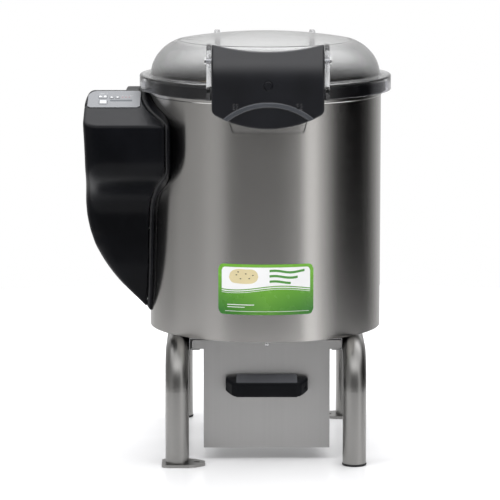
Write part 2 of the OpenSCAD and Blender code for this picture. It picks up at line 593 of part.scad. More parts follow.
module drawer_box() color(steel) difference() {
  union() {
    translate([-drawer_w, -drawer_y, drawer_z + 1]) cube([2 * drawer_w, drawer_y + 160, 193.2 - drawer_z - 1]);
    translate([-127, -drawer_y, 192]) cube([254, drawer_y + 160, 1.2]);
  }
  translate([-drawer_w + 1.2, -drawer_y + 1.2, drawer_z + 2.2]) cube([2 * drawer_w - 2.4, drawer_y + 157.6, 200]);
  translate([0, 150, 48]) rotate([-90, 0, 0]) cylinder(r = 16, h = 20);
  for (i = [-1, 1]) translate([front_x + i * 56, -drawer_y - 1, 134]) rotate([-90, 0, 0]) cylinder(r = 2.5, h = 5);
}

module drawer_front() color(steel) translate([front_x, 0, 0]) difference() {
  translate([0, -drawer_y, 0]) rotate([90, 0, 0]) linear_extrude(height = 1.5) polygon([[-107.3, drawer_z], [107.3, drawer_z], [107.3, 192], [124, 192], [127, 195], [127, 205], [125, 207], [-125, 207], [-127, 205], [-127, 195], [-124, 192], [-107.3, 192]]);
  for (i = [-1, 1]) translate([i * 56, -drawer_y - 3, 134]) rotate([-90, 0, 0]) cylinder(r = 2.5, h = 5);
}

module drawer_handle() color(black) translate([front_x, 0, 0]) {
  difference() {
    intersection() {
      translate([-80, 0, 0]) rotate([90, 0, 90]) linear_extrude(height = 160) polygon([[-drawer_y - 1.5, 114.5], [-drawer_y - 33, 114.5], [-drawer_y - 35, 116.5], [-drawer_y - 35, 137], [-drawer_y - 33, 140], [-drawer_y - 5, 149], [-drawer_y - 1.5, 149]]);
      translate([0, 0, 100]) linear_extrude(height = 60) polygon([[-72.2, -drawer_y], [-72.2, -drawer_y - 12], [-70.2, -drawer_y - 17], [-59.2, -drawer_y - 33], [-56.2, -drawer_y - 40], [56.2, -drawer_y - 40], [59.2, -drawer_y - 33], [70.2, -drawer_y - 17], [72.2, -drawer_y - 12], [72.2, -drawer_y]]);
      translate([0, -100, 0]) rotate([90, 0, 0]) linear_extrude(height = 120) polygon([[-72.2, 122], [-60, 114], [60, 114], [72.2, 122], [72.2, 143], [69.2, 150], [-69.2, 150], [-72.2, 143]]);
    }
    // finger space, open below
    translate([-50, -drawer_y - 30, 100]) cube([100, 24, 34]);
    for (i = [-1, 1]) translate([i * 56, -drawer_y - 12, 134]) rotate([-90, 0, 0]) cylinder(r = 2.5, h = 20);
  }
  // two screws from the drawer side
  for (i = [-1, 1]) translate([i * 56, -drawer_y - 12, 134]) rotate([-90, 0, 0]) { cylinder(r = 2.5, h = 13.2); translate([0, 0, 13.2]) cylinder(r = 4.5, h = 2); }
}

module drawer_stud() color([0.6, 0.6, 0.6]) translate([front_x, -drawer_y - 1.5, 200.5]) rotate([90, 0, 0]) rotate_extrude() polygon([[0, 0], [4, 0], [4, 1], [3.3, 2.3], [2, 3.1], [0, 3.4]]);

module filter_basket() color([0.7, 0.7, 0.72]) difference() {
  union() {
    translate([-100, -153, 72]) cube([200, 306, 122.4]);
    translate([-108, -158, 193.2]) cube([216, 316, 1.2]);
  }
  translate([-99, -152, 73]) cube([198, 304, 200]);
  for (i = [-1, 1], j = [-6.5:1:6.5]) translate([i * 48 - 38, j * 21 - 4, 70]) cube([76, 8, 6]);
  for (j = [-6.5:1:6.5]) translate([-110, j * 21 - 4, 90]) cube([220, 8, 76]);
}

module drain_spigot() color([0.3, 0.3, 0.32]) translate([0, 0, 48]) rotate([-90, 0, 0]) difference() {
  union() { translate([0, 0, 160]) cylinder(r = 24, h = 3); translate([0, 0, 157]) cylinder(r = 16, h = 42); }
  translate([0, 0, 150]) cylinder(r = 13, h = 60);
}

outer_drum();
drum_rim();
base_plate();
chamber_floor();
chamber_liner();
drain_duct();
bearing_housing();
shaft_bearings();
shaft_seal();
left_leg();
right_leg();
leg_bolts();
floor_plates();
rubber_feet();
left_rail();
right_rail();
housing_base();
housing_gasket();
housing_cover();
housing_screws();
keypad_panel();
status_leds();
control_board();
motor_bracket();
motor_stator();
motor_shields();
run_capacitor();
drive_belt();
cable_gland();
hinge_bracket();
hinge_pin();
water_inlet();
badge();
chute_frame();
lid_dome();
lid_gasket();
latch_pins();
latch_cover();
latch_cap();
latch_magnet();
latch_spring();
drawer_box();
drawer_front();
drawer_handle();
drawer_stud();
filter_basket();
drain_spigot();
main_shaft();
driven_pulley();
abrasive_plate();
motor_rotor();
motor_pulley();
cooling_fan();
discharge_door();
door_gasket();
door_knob();
key_start();
key_stop();
key_up();
key_down();
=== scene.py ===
import math

import bmesh
import bpy
import numpy as np
from mathutils import Matrix, Vector

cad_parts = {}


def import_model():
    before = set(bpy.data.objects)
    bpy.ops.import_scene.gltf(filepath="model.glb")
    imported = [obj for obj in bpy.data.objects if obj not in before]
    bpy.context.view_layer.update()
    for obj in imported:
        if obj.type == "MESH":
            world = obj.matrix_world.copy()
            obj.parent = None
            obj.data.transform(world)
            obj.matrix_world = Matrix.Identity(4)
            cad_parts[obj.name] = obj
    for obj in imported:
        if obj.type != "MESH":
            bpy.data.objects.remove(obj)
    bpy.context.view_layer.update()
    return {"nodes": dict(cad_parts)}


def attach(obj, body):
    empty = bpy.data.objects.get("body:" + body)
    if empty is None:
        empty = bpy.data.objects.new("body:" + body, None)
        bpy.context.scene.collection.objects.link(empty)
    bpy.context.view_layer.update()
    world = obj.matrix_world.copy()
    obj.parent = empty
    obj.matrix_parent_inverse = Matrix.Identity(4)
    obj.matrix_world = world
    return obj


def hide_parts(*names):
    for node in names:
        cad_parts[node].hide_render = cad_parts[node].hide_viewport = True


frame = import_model()
NODES = frame["nodes"]
SCENE = bpy.context.scene
MM = 0.001

# ---------------------------------------------------------------- camera

cam_data = bpy.data.cameras.new("camera")
cam_data.sensor_width = 36.0
cam_data.lens = 225.46
cam_data.clip_start = 0.05
cam_data.clip_end = 60.0
cam = bpy.data.objects.new("camera", cam_data)
cam.location = (-0.03563, -5.3964, 1.1645)
cam.rotation_euler = (math.pi / 2 - 0.1521, 0.0, -0.0017)
SCENE.collection.objects.link(cam)
SCENE.camera = cam


# ---------------------------------------------------------------- shader helpers

class Mat:
    """A node material around one Principled shader."""

    def __init__(self, name, color=(0.5, 0.5, 0.5), metallic=0.0, rough=0.4, spec=0.5, ior=1.5):
        self.m = bpy.data.materials.new(name)
        self.m.use_nodes = True
        self.nt = self.m.node_tree
        self.nt.nodes.clear()
        self.out = self.add("ShaderNodeOutputMaterial")
        self.b = self.add("ShaderNodeBsdfPrincipled")
        self.link(self.b.outputs[0], self.out.inputs[0])
        self.set("Base Color", (*color, 1.0))
        self.set("Metallic", metallic)
        self.set("Roughness", rough)
        self.set("Specular IOR Level", spec)
        self.set("IOR", ior)
        self.m.diffuse_color = (*color, 1.0)
        self._coord = None

    def add(self, kind, **props):
        n = self.nt.nodes.new(kind)
        for k, v in props.items():
            setattr(n, k, v)
        return n

    def link(self, a, b):
        self.nt.links.new(a, b)

    def set(self, name, value):
        self.b.inputs[name].default_value = value

    def coord(self):
        if self._coord is None:
            self._coord = self.add("ShaderNodeTexCoord").outputs["Object"]
        return self._coord

    def math(self, op, a, b=None, c=None, clamp=False):
        n = self.add("ShaderNodeMath", operation=op, use_clamp=clamp)
        for i, v in enumerate((a, b, c)):
            if v is None:
                continue
            if isinstance(v, (int, float)):
                n.inputs[i].default_value = v
            else:
                self.link(v, n.inputs[i])
        return n.outputs[0]

    def xyz(self, vec=None):
        s = self.add("ShaderNodeSeparateXYZ")
        self.link(vec or self.coord(), s.inputs[0])
        return s.outputs

    def combine(self, x, y, z):
        n = self.add("ShaderNodeCombineXYZ")
        for i, v in enumerate((x, y, z)):
            if isinstance(v, (int, float)):
                n.inputs[i].default_value = v
            else:
                self.link(v, n.inputs[i])
        return n.outputs[0]

    def scaled(self, sx, sy, sz, vec=None):
        n = self.add("ShaderNodeMapping")
        n.inputs["Scale"].default_value = (sx, sy, sz)
        self.link(vec or self.coord(), n.inputs["Vector"])
        return n.outputs[0]

    def noise(self, vec, scale, detail=3.0, rough=0.55):
        n = self.add("ShaderNodeTexNoise")
        n.inputs["Scale"].default_value = scale
        n.inputs["Detail"].default_value = detail
        n.inputs["Roughness"].default_value = rough
        self.link(vec, n.inputs["Vector"])
        return n.outputs[0]

    def voronoi(self, vec, scale):
        n = self.add("ShaderNodeTexVoronoi")
        n.inputs["Scale"].default_value = scale
        self.link(vec, n.inputs["Vector"])
        return n.outputs["Distance"]

    def remap(self, v, a, b, c, d):
        n = self.add("ShaderNodeMapRange")
        for i, x in zip((1, 2, 3, 4), (a, b, c, d)):
            n.inputs[i].default_value = x
        self.link(v, n.inputs[0])
        return n.outputs[0]

    def mix(self, fac, a, b):
        n = self.add("ShaderNodeMix", data_type="RGBA")
        ins = [i for i in n.inputs if i.type == "RGBA"]
        if isinstance(fac, (int, float)):
            n.inputs[0].default_value = fac
        else:
            self.link(fac, n.inputs[0])
        for s, v in zip(ins, (a, b)):
            if isinstance(v, (tuple, list)):
                s.default_value = (*v[:3], 1.0)
            else:
                self.link(v, s)
        return [o for o in n.outputs if o.type == "RGBA"][0]

    def color(self, v):
        self.link(v, self.b.inputs["Base Color"])

    def roughness(self, v):
        self.link(v, self.b.inputs["Roughness"])

    def bump(self, height, strength, distance):
        n = self.add("ShaderNodeBump")
        n.inputs["Strength"].default_value = strength
        n.inputs["Distance"].default_value = distance
        self.link(height, n.inputs["Height"])
        self.link(n.outputs[0], self.b.inputs["Normal"])
        return n


def round_vec(m, sa, sz, depth=0.0):
    """Coordinates that run round the vertical axis (metres of arc, height); the seam is at the back."""
    o = m.xyz()
    nx = m.math("MULTIPLY", o[0], -1.0)
    ny = m.math("MULTIPLY", o[1], -1.0)
    ang = m.math("ARCTAN2", nx, ny)
    return m.combine(m.math("MULTIPLY", ang, 0.2 * sa), m.math("MULTIPLY", o[2], sz), depth)


def brushed(name, color, rough, grain, aniso=0.7, line=0.03, cloud=0.03, bump=0.012, turn=0.0, streak=1.0):
    """Brushed stainless sheet. grain: round (about Z), x, y or z."""
    m = Mat(name, color, 1.0, rough)
    m.set("Anisotropic", aniso)
    if grain == "round":
        v1, v2 = round_vec(m, 2.2, 1700.0), round_vec(m, 9.0, 9.0)
        v3 = round_vec(m, 1.0, 240.0)
    elif grain == "z":
        v1, v2, v3 = m.scaled(1700, 1700, 3), m.scaled(8, 8, 8), m.scaled(240, 240, 1.5)
    elif grain == "x":
        v1, v2, v3 = m.scaled(3, 1700, 1700), m.scaled(8, 8, 8), m.scaled(1.5, 240, 240)
    else:
        v1, v2, v3 = m.scaled(1700, 3, 1700), m.scaled(8, 8, 8), m.scaled(240, 1.5, 240)
    fine = m.noise(v1, 1.0, 2.0)
    broad = m.noise(v3, 1.0, 2.0)
    soft = m.noise(v2, 1.0, 4.0)
    r = m.math("MULTIPLY_ADD", fine, 2 * line, rough - line)
    r = m.math("MULTIPLY_ADD", soft, 2 * cloud, r)
    r = m.math("ADD", r, -cloud)
    m.roughness(r)
    dark = tuple(c * (1 - 0.04 * streak) for c in color)
    lite = tuple(min(1.0, c * (1 + 0.03 * streak)) for c in color)
    tone = m.math("MULTIPLY_ADD", broad, 0.6, m.math("MULTIPLY", fine, 0.4))
    m.color(m.mix(m.remap(tone, 0.3, 0.7, 0.0, 1.0), dark, lite))
    m.bump(m.math("MULTIPLY_ADD", broad, 0.4, fine), bump, 0.00004)
    t = m.add("ShaderNodeTangent", direction_type="RADIAL", axis="Z" if grain in ("round", "z") else ("X" if grain == "y" else "Z"))
    m.link(t.outputs[0], m.b.inputs["Tangent"])
    m.set("Anisotropic Rotation", turn)
    return m


def moulded(name, color, rough, grain=1100.0, bump=0.25, depth=0.00012, spec=0.5, tone=0.25):
    """Fine grained moulded plastic."""
    m = Mat(name, color, 0.0, rough, spec)
    g = m.noise(m.coord(), grain, 3.0, 0.6)
    c = m.noise(m.coord(), 14.0, 4.0, 0.55)
    s = m.noise(m.scaled(55, 55, 6), 1.0, 3.0)
    r = m.math("MULTIPLY_ADD", c, 0.16, rough - 0.08)
    r = m.math("MULTIPLY_ADD", s, 0.06, m.math("ADD", r, -0.03))
    m.roughness(r)
    lo = tuple(x * (1 - tone) for x in color)
    hi = tuple(x * (1 + tone) for x in color)
    m.color(m.mix(m.remap(c, 0.35, 0.65, 0.0, 1.0), lo, hi))
    m.bump(m.math("MULTIPLY_ADD", c, 0.5, g), bump, depth)
    return m


def grit(name, color):
    """Abrasive grain bonded to a surface."""
    m = Mat(name, color, 0.0, 0.75, 0.4)
    v = m.voronoi(m.coord(), 420.0)
    n = m.noise(m.coord(), 900.0, 4.0, 0.7)
    w = m.noise(m.coord(), 18.0, 4.0)
    h = m.math("SUBTRACT", n, m.math("MULTIPLY", v, 0.9))
    lo, hi = tuple(x * 0.45 for x in color), tuple(min(1, x * 1.9) for x in color)
    col = m.mix(m.remap(h, -0.3, 0.6, 0.0, 1.0), lo, hi)
    m.color(m.mix(m.remap(w, 0.35, 0.7, 0.0, 0.35), col, tuple(x * 0.6 for x in color)))
    m.roughness(m.remap(n, 0.3, 0.7, 0.55, 0.9))
    m.bump(h, 0.9, 0.0011)
    return m


def rubber(name, color=(0.012, 0.012, 0.013), rough=0.62):
    m = Mat(name, color, 0.0, rough, 0.35)
    g = m.noise(m.coord(), 700.0, 3.0)
    c = m.noise(m.coord(), 30.0, 4.0)
    m.roughness(m.remap(c, 0.3, 0.7, rough - 0.1, rough + 0.12))
    m.color(m.mix(c, color, tuple(x * 2.2 for x in color)))
    m.bump(g, 0.2, 0.0002)
    return m


def turned(name, color, rough=0.22, axis="Z"):
    """Turned or drawn metal with fine rings."""
    m = Mat(name, color, 1.0, rough)
    m.set("Anisotropic", 0.35)
    o = m.coord()
    f = m.noise(m.scaled(900, 900, 900), 1.0, 2.0)
    c = m.noise(o, 40.0, 3.0)
    m.roughness(m.math("MULTIPLY_ADD", f, 0.1, m.math("MULTIPLY_ADD", c, 0.12, rough - 0.1)))
    m.color(m.mix(c, tuple(x * 0.85 for x in color), tuple(min(1, x * 1.08) for x in color)))
    m.bump(f, 0.08, 0.00005)
    return m


def cast(name, color, rough=0.5):
    m = Mat(name, color, 1.0, rough)
    g = m.noise(m.coord(), 500.0, 4.0, 0.65)
    c = m.noise(m.coord(), 22.0, 4.0)
    m.roughness(m.remap(c, 0.3, 0.7, rough - 0.08, rough + 0.12))
    m.color(m.mix(g, tuple(x * 0.8 for x in color), color))
    m.bump(g, 0.35, 0.0003)
    return m


def printed(name, color, rough=0.35, coat=0.0, spec=0.5):
    m = Mat(name, color, 0.0, rough, spec)
    m.set("Coat Weight", coat)
    n = m.noise(m.coord(), 300.0, 2.0)
    c = m.noise(m.coord(), 25.0, 3.0)
    m.roughness(m.remap(c, 0.3, 0.7, rough - 0.05, rough + 0.07))
    m.color(m.mix(c, tuple(x * 0.93 for x in color), tuple(min(1, x * 1.05) for x in color)))
    m.bump(n, 0.06, 0.00004)
    return m


MAT = {
    "drum": brushed("drum_steel", (0.60, 0.585, 0.565), 0.235, "round", aniso=0.78, turn=0.25, bump=0.0015, line=0.012, cloud=0.015, streak=0.35),
    "rim": brushed("rim_steel", (0.66, 0.65, 0.63), 0.22, "round", aniso=0.5, turn=0.25),
    "sheet": brushed("sheet_steel", (0.58, 0.58, 0.58), 0.30, "x", aniso=0.5),
    "front": brushed("front_steel", (0.44, 0.435, 0.43), 0.48, "z", aniso=0.4, streak=0.6),
    "basket": brushed("basket_steel", (0.62, 0.62, 0.62), 0.26, "x", aniso=0.4),
    "tube": brushed("tube_steel", (0.31, 0.305, 0.295), 0.30, "y", aniso=0.3, line=0.015, cloud=0.01, bump=0.004, streak=0.5),
    "bright": turned("bright_steel", (0.66, 0.66, 0.66)),
    "brass": turned("brass_fitting", (0.72, 0.55, 0.27), 0.25),
    "cast": cast("cast_metal", (0.42, 0.43, 0.45)),
    "abrasive": grit("abrasive", (0.055, 0.05, 0.047)),
    "black": moulded("black_plastic", (0.0042, 0.0045, 0.0058), 0.31, spec=0.08),
    "dark": moulded("dark_plastic", (0.0060, 0.0063, 0.0080), 0.34, spec=0.10),
    "latch": moulded("latch_plastic", (0.0042, 0.0047, 0.0075), 0.34, spec=0.76),
    "screw": turned("dark_screw", (0.10, 0.10, 0.105), 0.35),
    "rubber": rubber("black_rubber"),
    "seal": rubber("seal_rubber", (0.003, 0.003, 0.004), 0.7),
    "film": printed("keypad_film", (0.250, 0.256, 0.268), 0.42, spec=0.12),
    "green": printed("key_green", (0.10, 0.34, 0.15), 0.36, spec=0.12),
    "red": printed("key_red", (0.46, 0.055, 0.045), 0.36),
    "light": printed("key_light", (0.46, 0.475, 0.465), 0.40, spec=0.12),
    "ink_white": printed("print_white", (0.88, 0.88, 0.88), 0.4),
    "ink_pale": printed("print_pale", (0.58, 0.59, 0.60), 0.4, spec=0.12),
    "ink_dark": printed("print_dark", (0.12, 0.13, 0.14), 0.4, spec=0.12),
    "led": printed("led_lens", (0.36, 0.24, 0.25), 0.15, spec=0.2),
    "board": moulded("board", (0.02, 0.12, 0.06), 0.45),
    "cap": printed("capacitor_case", (0.70, 0.70, 0.67), 0.35),
}


def clear_plastic():
    m = Mat("clear_lid", (0.93, 0.933, 0.933), 0.0, 0.03, 0.5, 1.49)
    m.set("Transmission Weight", 1.0)
    c = m.noise(m.coord(), 9.0, 3.0)
    s = m.noise(m.coord(), 260.0, 3.0)
    o = m.xyz()
    rho = m.math("SQRT", m.math("ADD", m.math("MULTIPLY", o[0], o[0]), m.math("MULTIPLY", o[1], o[1])))
    # the drawn side of the dome is hazier than its flat top and its rim
    side = m.math("MULTIPLY", m.remap(rho, 0.148, 0.158, 0.0, 1.0), m.remap(rho, 0.1965, 0.2010, 1.0, 0.0))
    side = m.math("MULTIPLY", side, m.remap(o[2], 0.646, 0.652, 0.0, 1.0))
    r = m.math("MULTIPLY_ADD", c, 0.04, m.math("MULTIPLY_ADD", s, 0.015, 0.008))
    m.roughness(m.math("MULTIPLY_ADD", side, 0.20, r))
    # painted shade: the clear skirt is tinted dark grey where the dark seal sits behind it, standing in for the seal
    # seen through it
    skirt = m.math("MULTIPLY", m.remap(rho, 0.2128, 0.2134, 0.0, 1.0), m.remap(o[2], 0.6385, 0.6405, 1.0, 0.0))
    wing = m.math("MULTIPLY", m.remap(m.math("ABSOLUTE", m.math("SUBTRACT", m.math("ABSOLUTE", m.math("SUBTRACT", o[0], 0.003)), 0.0982)), 0.0045, 0.0052, 1.0, 0.0), m.remap(rho, 0.2005, 0.2015, 0.0, 1.0))
    wing = m.math("MULTIPLY", wing, m.remap(o[2], 0.646, 0.648, 0.0, 1.0))
    m.color(m.mix(wing, m.mix(skirt, (0.93, 0.933, 0.933), (0.50, 0.50, 0.53)), (0.80, 0.81, 0.84)))
    m.bump(c, 0.05, 0.0006)
    return m


MAT["clear"] = clear_plastic()


def assign(obj, key):
    obj.data.materials.clear()
    obj.data.materials.append(MAT[key].m if isinstance(MAT[key], Mat) else MAT[key])
    for p in obj.data.polygons:
        p.material_index = 0


# ---------------------------------------------------------------- mesh helpers

def piece(name, verts, faces, mat, body, replaces=(), slot=None, smooth=True, angle=None):
    me = bpy.data.meshes.new(name)
    me.from_pydata([tuple(v) for v in verts], [], [tuple(f) for f in faces])
    me.update()
    bm = bmesh.new()
    bm.from_mesh(me)
    bmesh.ops.recalc_face_normals(bm, faces=bm.faces)
    bm.to_mesh(me)
    bm.free()
    o = bpy.data.objects.new(name, me)
    SCENE.collection.objects.link(o)
    if smooth:
        me.polygons.foreach_set("use_smooth", [True] * len(me.polygons))
        if angle is not None:
            me.set_sharp_from_angle(angle=math.radians(angle))
    assign(o, mat)
    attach(o, body)
    if replaces:
        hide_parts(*replaces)
    return o


def surface_nets(field, lo, hi, h):
    """The zero surface of field(x, y, z) in millimetres, as points and quads."""
    ax = [np.arange(lo[i], hi[i] + h * 0.999, h) for i in range(3)]
    X, Y, Z = np.meshgrid(*ax, indexing="ij")
    F = field(X, Y, Z).astype(np.float64)
    F[F == 0] = 1e-9
    ins = F < 0
    n = np.array(F.shape) - 1

    def corner(a, d):
        return a[d[0]: d[0] + n[0], d[1]: d[1] + n[1], d[2]: d[2] + n[2]]

    corners = [(i, j, k) for i in (0, 1) for j in (0, 1) for k in (0, 1)]
    count = sum(corner(ins, c).astype(np.int8) for c in corners)
    act = (count > 0) & (count < 8)
    cells = np.argwhere(act)
    P = np.zeros((len(cells), 3))
    N = np.zeros(len(cells))
    for a in corners:
        for d in range(3):
            if a[d]:
                continue
            b = list(a)
            b[d] = 1
            fa, fb = corner(F, a)[act], corner(F, b)[act]
            m = (fa < 0) != (fb < 0)
            t = fa[m] / (fa[m] - fb[m])
            pos = np.tile(np.array(a, float), (m.sum(), 1))
            pos[:, d] += t
            P[m] += pos
            N[m] += 1
    P = (cells + P / N[:, None]) * h + np.array(lo)
    idx = -np.ones(act.shape, np.int64)
    idx[act] = np.arange(len(cells))
    quads = []
    order = {0: ((0, -1, -1), (0, 0, -1), (0, 0, 0), (0, -1, 0)),
             1: ((-1, 0, -1), (-1, 0, 0), (0, 0, 0), (0, 0, -1)),
             2: ((-1, -1, 0), (0, -1, 0), (0, 0, 0), (-1, 0, 0))}
    for d in range(3):
        a = ins
        s0 = [slice(None)] * 3
        s1 = [slice(None)] * 3
        s0[d] = slice(0, -1)
        s1[d] = slice(1, None)
        change = a[tuple(s0)] != a[tuple(s1)]
        e = np.argwhere(change)
        keep = np.ones(len(e), bool)
        for k in range(3):
            if k != d:
                keep &= (e[:, k] > 0) & (e[:, k] < a.shape[k] - 1)
        e = e[keep]
        first = a[tuple(s0)][change][keep]
        q = np.stack([idx[e[:, 0] + o[0], e[:, 1] + o[1], e[:, 2] + o[2]] for o in order[d]], 1)
        q[~first] = q[~first][:, ::-1]
        quads.append(q)
    q = np.concatenate(quads)
    q = q[(q >= 0).all(1)]
    return P * MM, q


def net_piece(name, field, lo, hi, h, mat, body, replaces=()):
    P, q = surface_nets(field, lo, hi, h)
    me = bpy.data.meshes.new(name)
    me.vertices.add(len(P))
    me.vertices.foreach_set("co", P.ravel())
    me.loops.add(len(q) * 4)
    me.loops.foreach_set("vertex_index", q.ravel().astype(np.int32))
    me.polygons.add(len(q))
    me.polygons.foreach_set("loop_start", np.arange(0, len(q) * 4, 4, dtype=np.int32))
    me.polygons.foreach_set("loop_total", np.full(len(q), 4, np.int32))
    me.update(calc_edges=True)
    me.validate()
    me.polygons.foreach_set("use_smooth", [True] * len(me.polygons))
    o = bpy.data.objects.new(name, me)
    SCENE.collection.objects.link(o)
    assign(o, mat)
    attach(o, body)
    if replaces:
        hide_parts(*replaces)
    return o


def smax(a, b, k):
    h = np.clip((k - np.abs(a - b)) / k, 0, None)
    return np.maximum(a, b) + h * h * k * 0.25


def smin(a, b, k):
    return -smax(-a, -b, k)


def soft_curve(pts, sigma):
    """pts (t, value) as a function of t, rounded off over about sigma millimetres."""
    t = np.array([p[0] for p in pts], float)
    v = np.array([p[1] for p in pts], float)
    g = np.arange(t[0] - 6 * sigma, t[-1] + 6 * sigma, 0.5)
    s0 = (v[1] - v[0]) / (t[1] - t[0])
    s1 = (v[-1] - v[-2]) / (t[-1] - t[-2])
    y = np.interp(g, t, v)
    y = np.where(g < t[0], v[0] + s0 * (g - t[0]), y)
    y = np.where(g > t[-1], v[-1] + s1 * (g - t[-1]), y)
    k = np.exp(-0.5 * (np.arange(-3 * sigma, 3 * sigma + 0.5, 0.5) / sigma) ** 2)
    k /= k.sum()
    pad = len(k) // 2
    yp = np.pad(y, pad, mode="reflect", reflect_type="odd")
    ys = np.convolve(yp, k, mode="same")[pad:pad + len(y)]
    d = np.gradient(ys, g)
    return (lambda q: np.interp(q, g, ys)), (lambda q: np.interp(q, g, d))


def lathe(profile, segs=192, closed=True):
    """Rings round Z from (r, z) points in millimetres. A point with r 0 becomes one vertex."""
    verts, rows, faces = [], [], []
    for r, z in profile:
        if r < 1e-6:
            rows.append([len(verts)] * segs)
            verts.append((0, 0, z * MM))
        else:
            s = len(verts)
            rows.append(list(range(s, s + segs)))
            for i in range(segs):
                a = 2 * math.pi * i / segs
                verts.append((r * math.cos(a) * MM, r * math.sin(a) * MM, z * MM))
    n = len(rows)
    for k in range(n if closed else n - 1):
        a, b = rows[k], rows[(k + 1) % n]
        for i in range(segs):
            j = (i + 1) % segs
            f = []
            for v in (a[i], a[j], b[j], b[i]):
                if v not in f:
                    f.append(v)
            if len(f) > 2:
                faces.append(f)
    return verts, faces


def spline(pts, n=10):
    """A smooth curve through the points (centripetal enough for these spacings)."""
    out = []
    P = [Vector(p) for p in pts]
    for i in range(len(P) - 1):
        p0 = P[i - 1] if i else P[0] * 2 - P[1]
        p3 = P[i + 2] if i + 2 < len(P) else P[-1] * 2 - P[-2]
        p1, p2 = P[i], P[i + 1]
        for s in range(n):
            t = s / n
            out.append(0.5 * ((2 * p1) + (p2 - p0) * t + (2 * p0 - 5 * p1 + 4 * p2 - p3) * t * t + (3 * p1 - p0 - 3 * p2 + p3) * t ** 3))
    out.append(P[-1])
    return out


def prism(outline, thick, bevel, place, segs=3):
    """A plate with rounded edges: outline in its own plane (mm), thick along its normal, place = 4x4 matrix."""
    bm = bmesh.new()
    vs = [bm.verts.new((p[0] * MM, p[1] * MM, 0)) for p in outline]
    f = bm.faces.new(vs)
    r = bmesh.ops.extrude_face_region(bm, geom=[f])
    bmesh.ops.translate(bm, verts=[v for v in r["geom"] if isinstance(v, bmesh.types.BMVert)], vec=(0, 0, thick * MM))
    bmesh.ops.recalc_face_normals(bm, faces=bm.faces)
    if bevel:
        edges = [e for e in bm.edges if abs(e.verts[0].co.z - e.verts[1].co.z) < 1e-9]
        bmesh.ops.bevel(bm, geom=edges, offset=bevel * MM, segments=segs, profile=0.5, affect="EDGES", clamp_overlap=True)
    bmesh.ops.transform(bm, matrix=place, verts=bm.verts)
    bm.verts.index_update()
    v = [tuple(x.co) for x in bm.verts]
    fs = [[x.index for x in f.verts] for f in bm.faces]
    bm.free()
    return v, fs


def join(*meshes):
    V, F = [], []
    for v, f in meshes:
        s = len(V)
        V += list(v)
        F += [[i + s for i in q] for q in f]
    return V, F


def moved(mesh, matrix):
    return [tuple(matrix @ Vector(p)) for p in mesh[0]], mesh[1]


def closed_spline(pts, n=6):
    out = []
    P = [Vector(p) for p in pts]
    m = len(P)
    for i in range(m):
        p0, p1, p2, p3 = P[i - 1], P[i], P[(i + 1) % m], P[(i + 2) % m]
        for s in range(n):
            t = s / n
            out.append(0.5 * ((2 * p1) + (p2 - p0) * t + (2 * p0 - 5 * p1 + 4 * p2 - p3) * t * t + (3 * p1 - p0 - 3 * p2 + p3) * t ** 3))
    return out


def rounded_rect(w, h, r, n=6):
    out = []
    for cx, cy, a0 in ((w / 2 - r, h / 2 - r, 0), (-w / 2 + r, h / 2 - r, 90), (-w / 2 + r, -h / 2 + r, 180), (w / 2 - r, -h / 2 + r, 270)):
        for i in range(n + 1):
            a = math.radians(a0 + 90 * i / n)
            out.append((cx + r * math.cos(a), cy + r * math.sin(a)))
    return out


def solid(mesh, name="tool"):
    me = bpy.data.meshes.new(name)
    me.from_pydata([tuple(v) for v in mesh[0]], [], [tuple(f) for f in mesh[1]])
    bm = bmesh.new()
    bm.from_mesh(me)
    bmesh.ops.recalc_face_normals(bm, faces=bm.faces)
    bm.to_mesh(me)
    bm.free()
    o = bpy.data.objects.new(name, me)
    SCENE.collection.objects.link(o)
    return o


def boolean(a, b, op):
    """a := a op b, and b is used up."""
    m = a.modifiers.new("b", "BOOLEAN")
    m.operation, m.object, m.solver = op, b, "EXACT"
    me = bpy.data.meshes.new_from_object(a.evaluated_get(bpy.context.evaluated_depsgraph_get()))
    a.modifiers.clear()
    old = a.data
    a.data = me
    bpy.data.meshes.remove(old)
    tool = b.data
    bpy.data.objects.remove(b)
    bpy.data.meshes.remove(tool)
    return a


def cylinder(r, h, segs=48, z0=0.0):
    return lathe([(0, z0), (r, z0), (r, z0 + h), (0, z0 + h)], segs, closed=False)


def screw_head(r, h, sock, depth, segs=32):
    """Domed head with a six-sided recess, its seat at z 0."""
    verts, faces, rows = [], [], []
    prof = [(r, 0), (r, h * 0.35), (r * 0.93, h * 0.68), (r * 0.78, h * 0.88), (r * 0.6, h)]
    for pr, pz in prof:
        rows.append(list(range(len(verts), len(verts) + segs)))
        for i in range(segs):
            a = 2 * math.pi * i / segs
            verts.append((pr * math.cos(a) * MM, pr * math.sin(a) * MM, pz * MM))
    for z in (h, h - depth):
        rows.append(list(range(len(verts), len(verts) + segs)))
        for i in range(segs):
            a = 2 * math.pi * i / segs
            k = sock * math.cos(math.pi / 6) / math.cos((a % (math.pi / 3)) - math.pi / 6)
            verts.append((k * math.cos(a) * MM, k * math.sin(a) * MM, z * MM))
    for a, b in zip(rows, rows[1:]):
        for i in range(segs):
            j = (i + 1) % segs
            faces.append([a[i], a[j], b[j], b[i]])
    faces.append(rows[0][::-1])
    faces.append(rows[-1])
    return verts, faces


def frame_matrix(origin, x, y, z):
    """Matrix whose columns are the given axes; origin in millimetres."""
    m = Matrix.Identity(4)
    for i, a in enumerate((x, y, z)):
        m.col[i][:3] = a
    m.col[3][:3] = Vector(origin) * MM
    return m


# ---------------------------------------------------------------- finishes of the CAD pieces

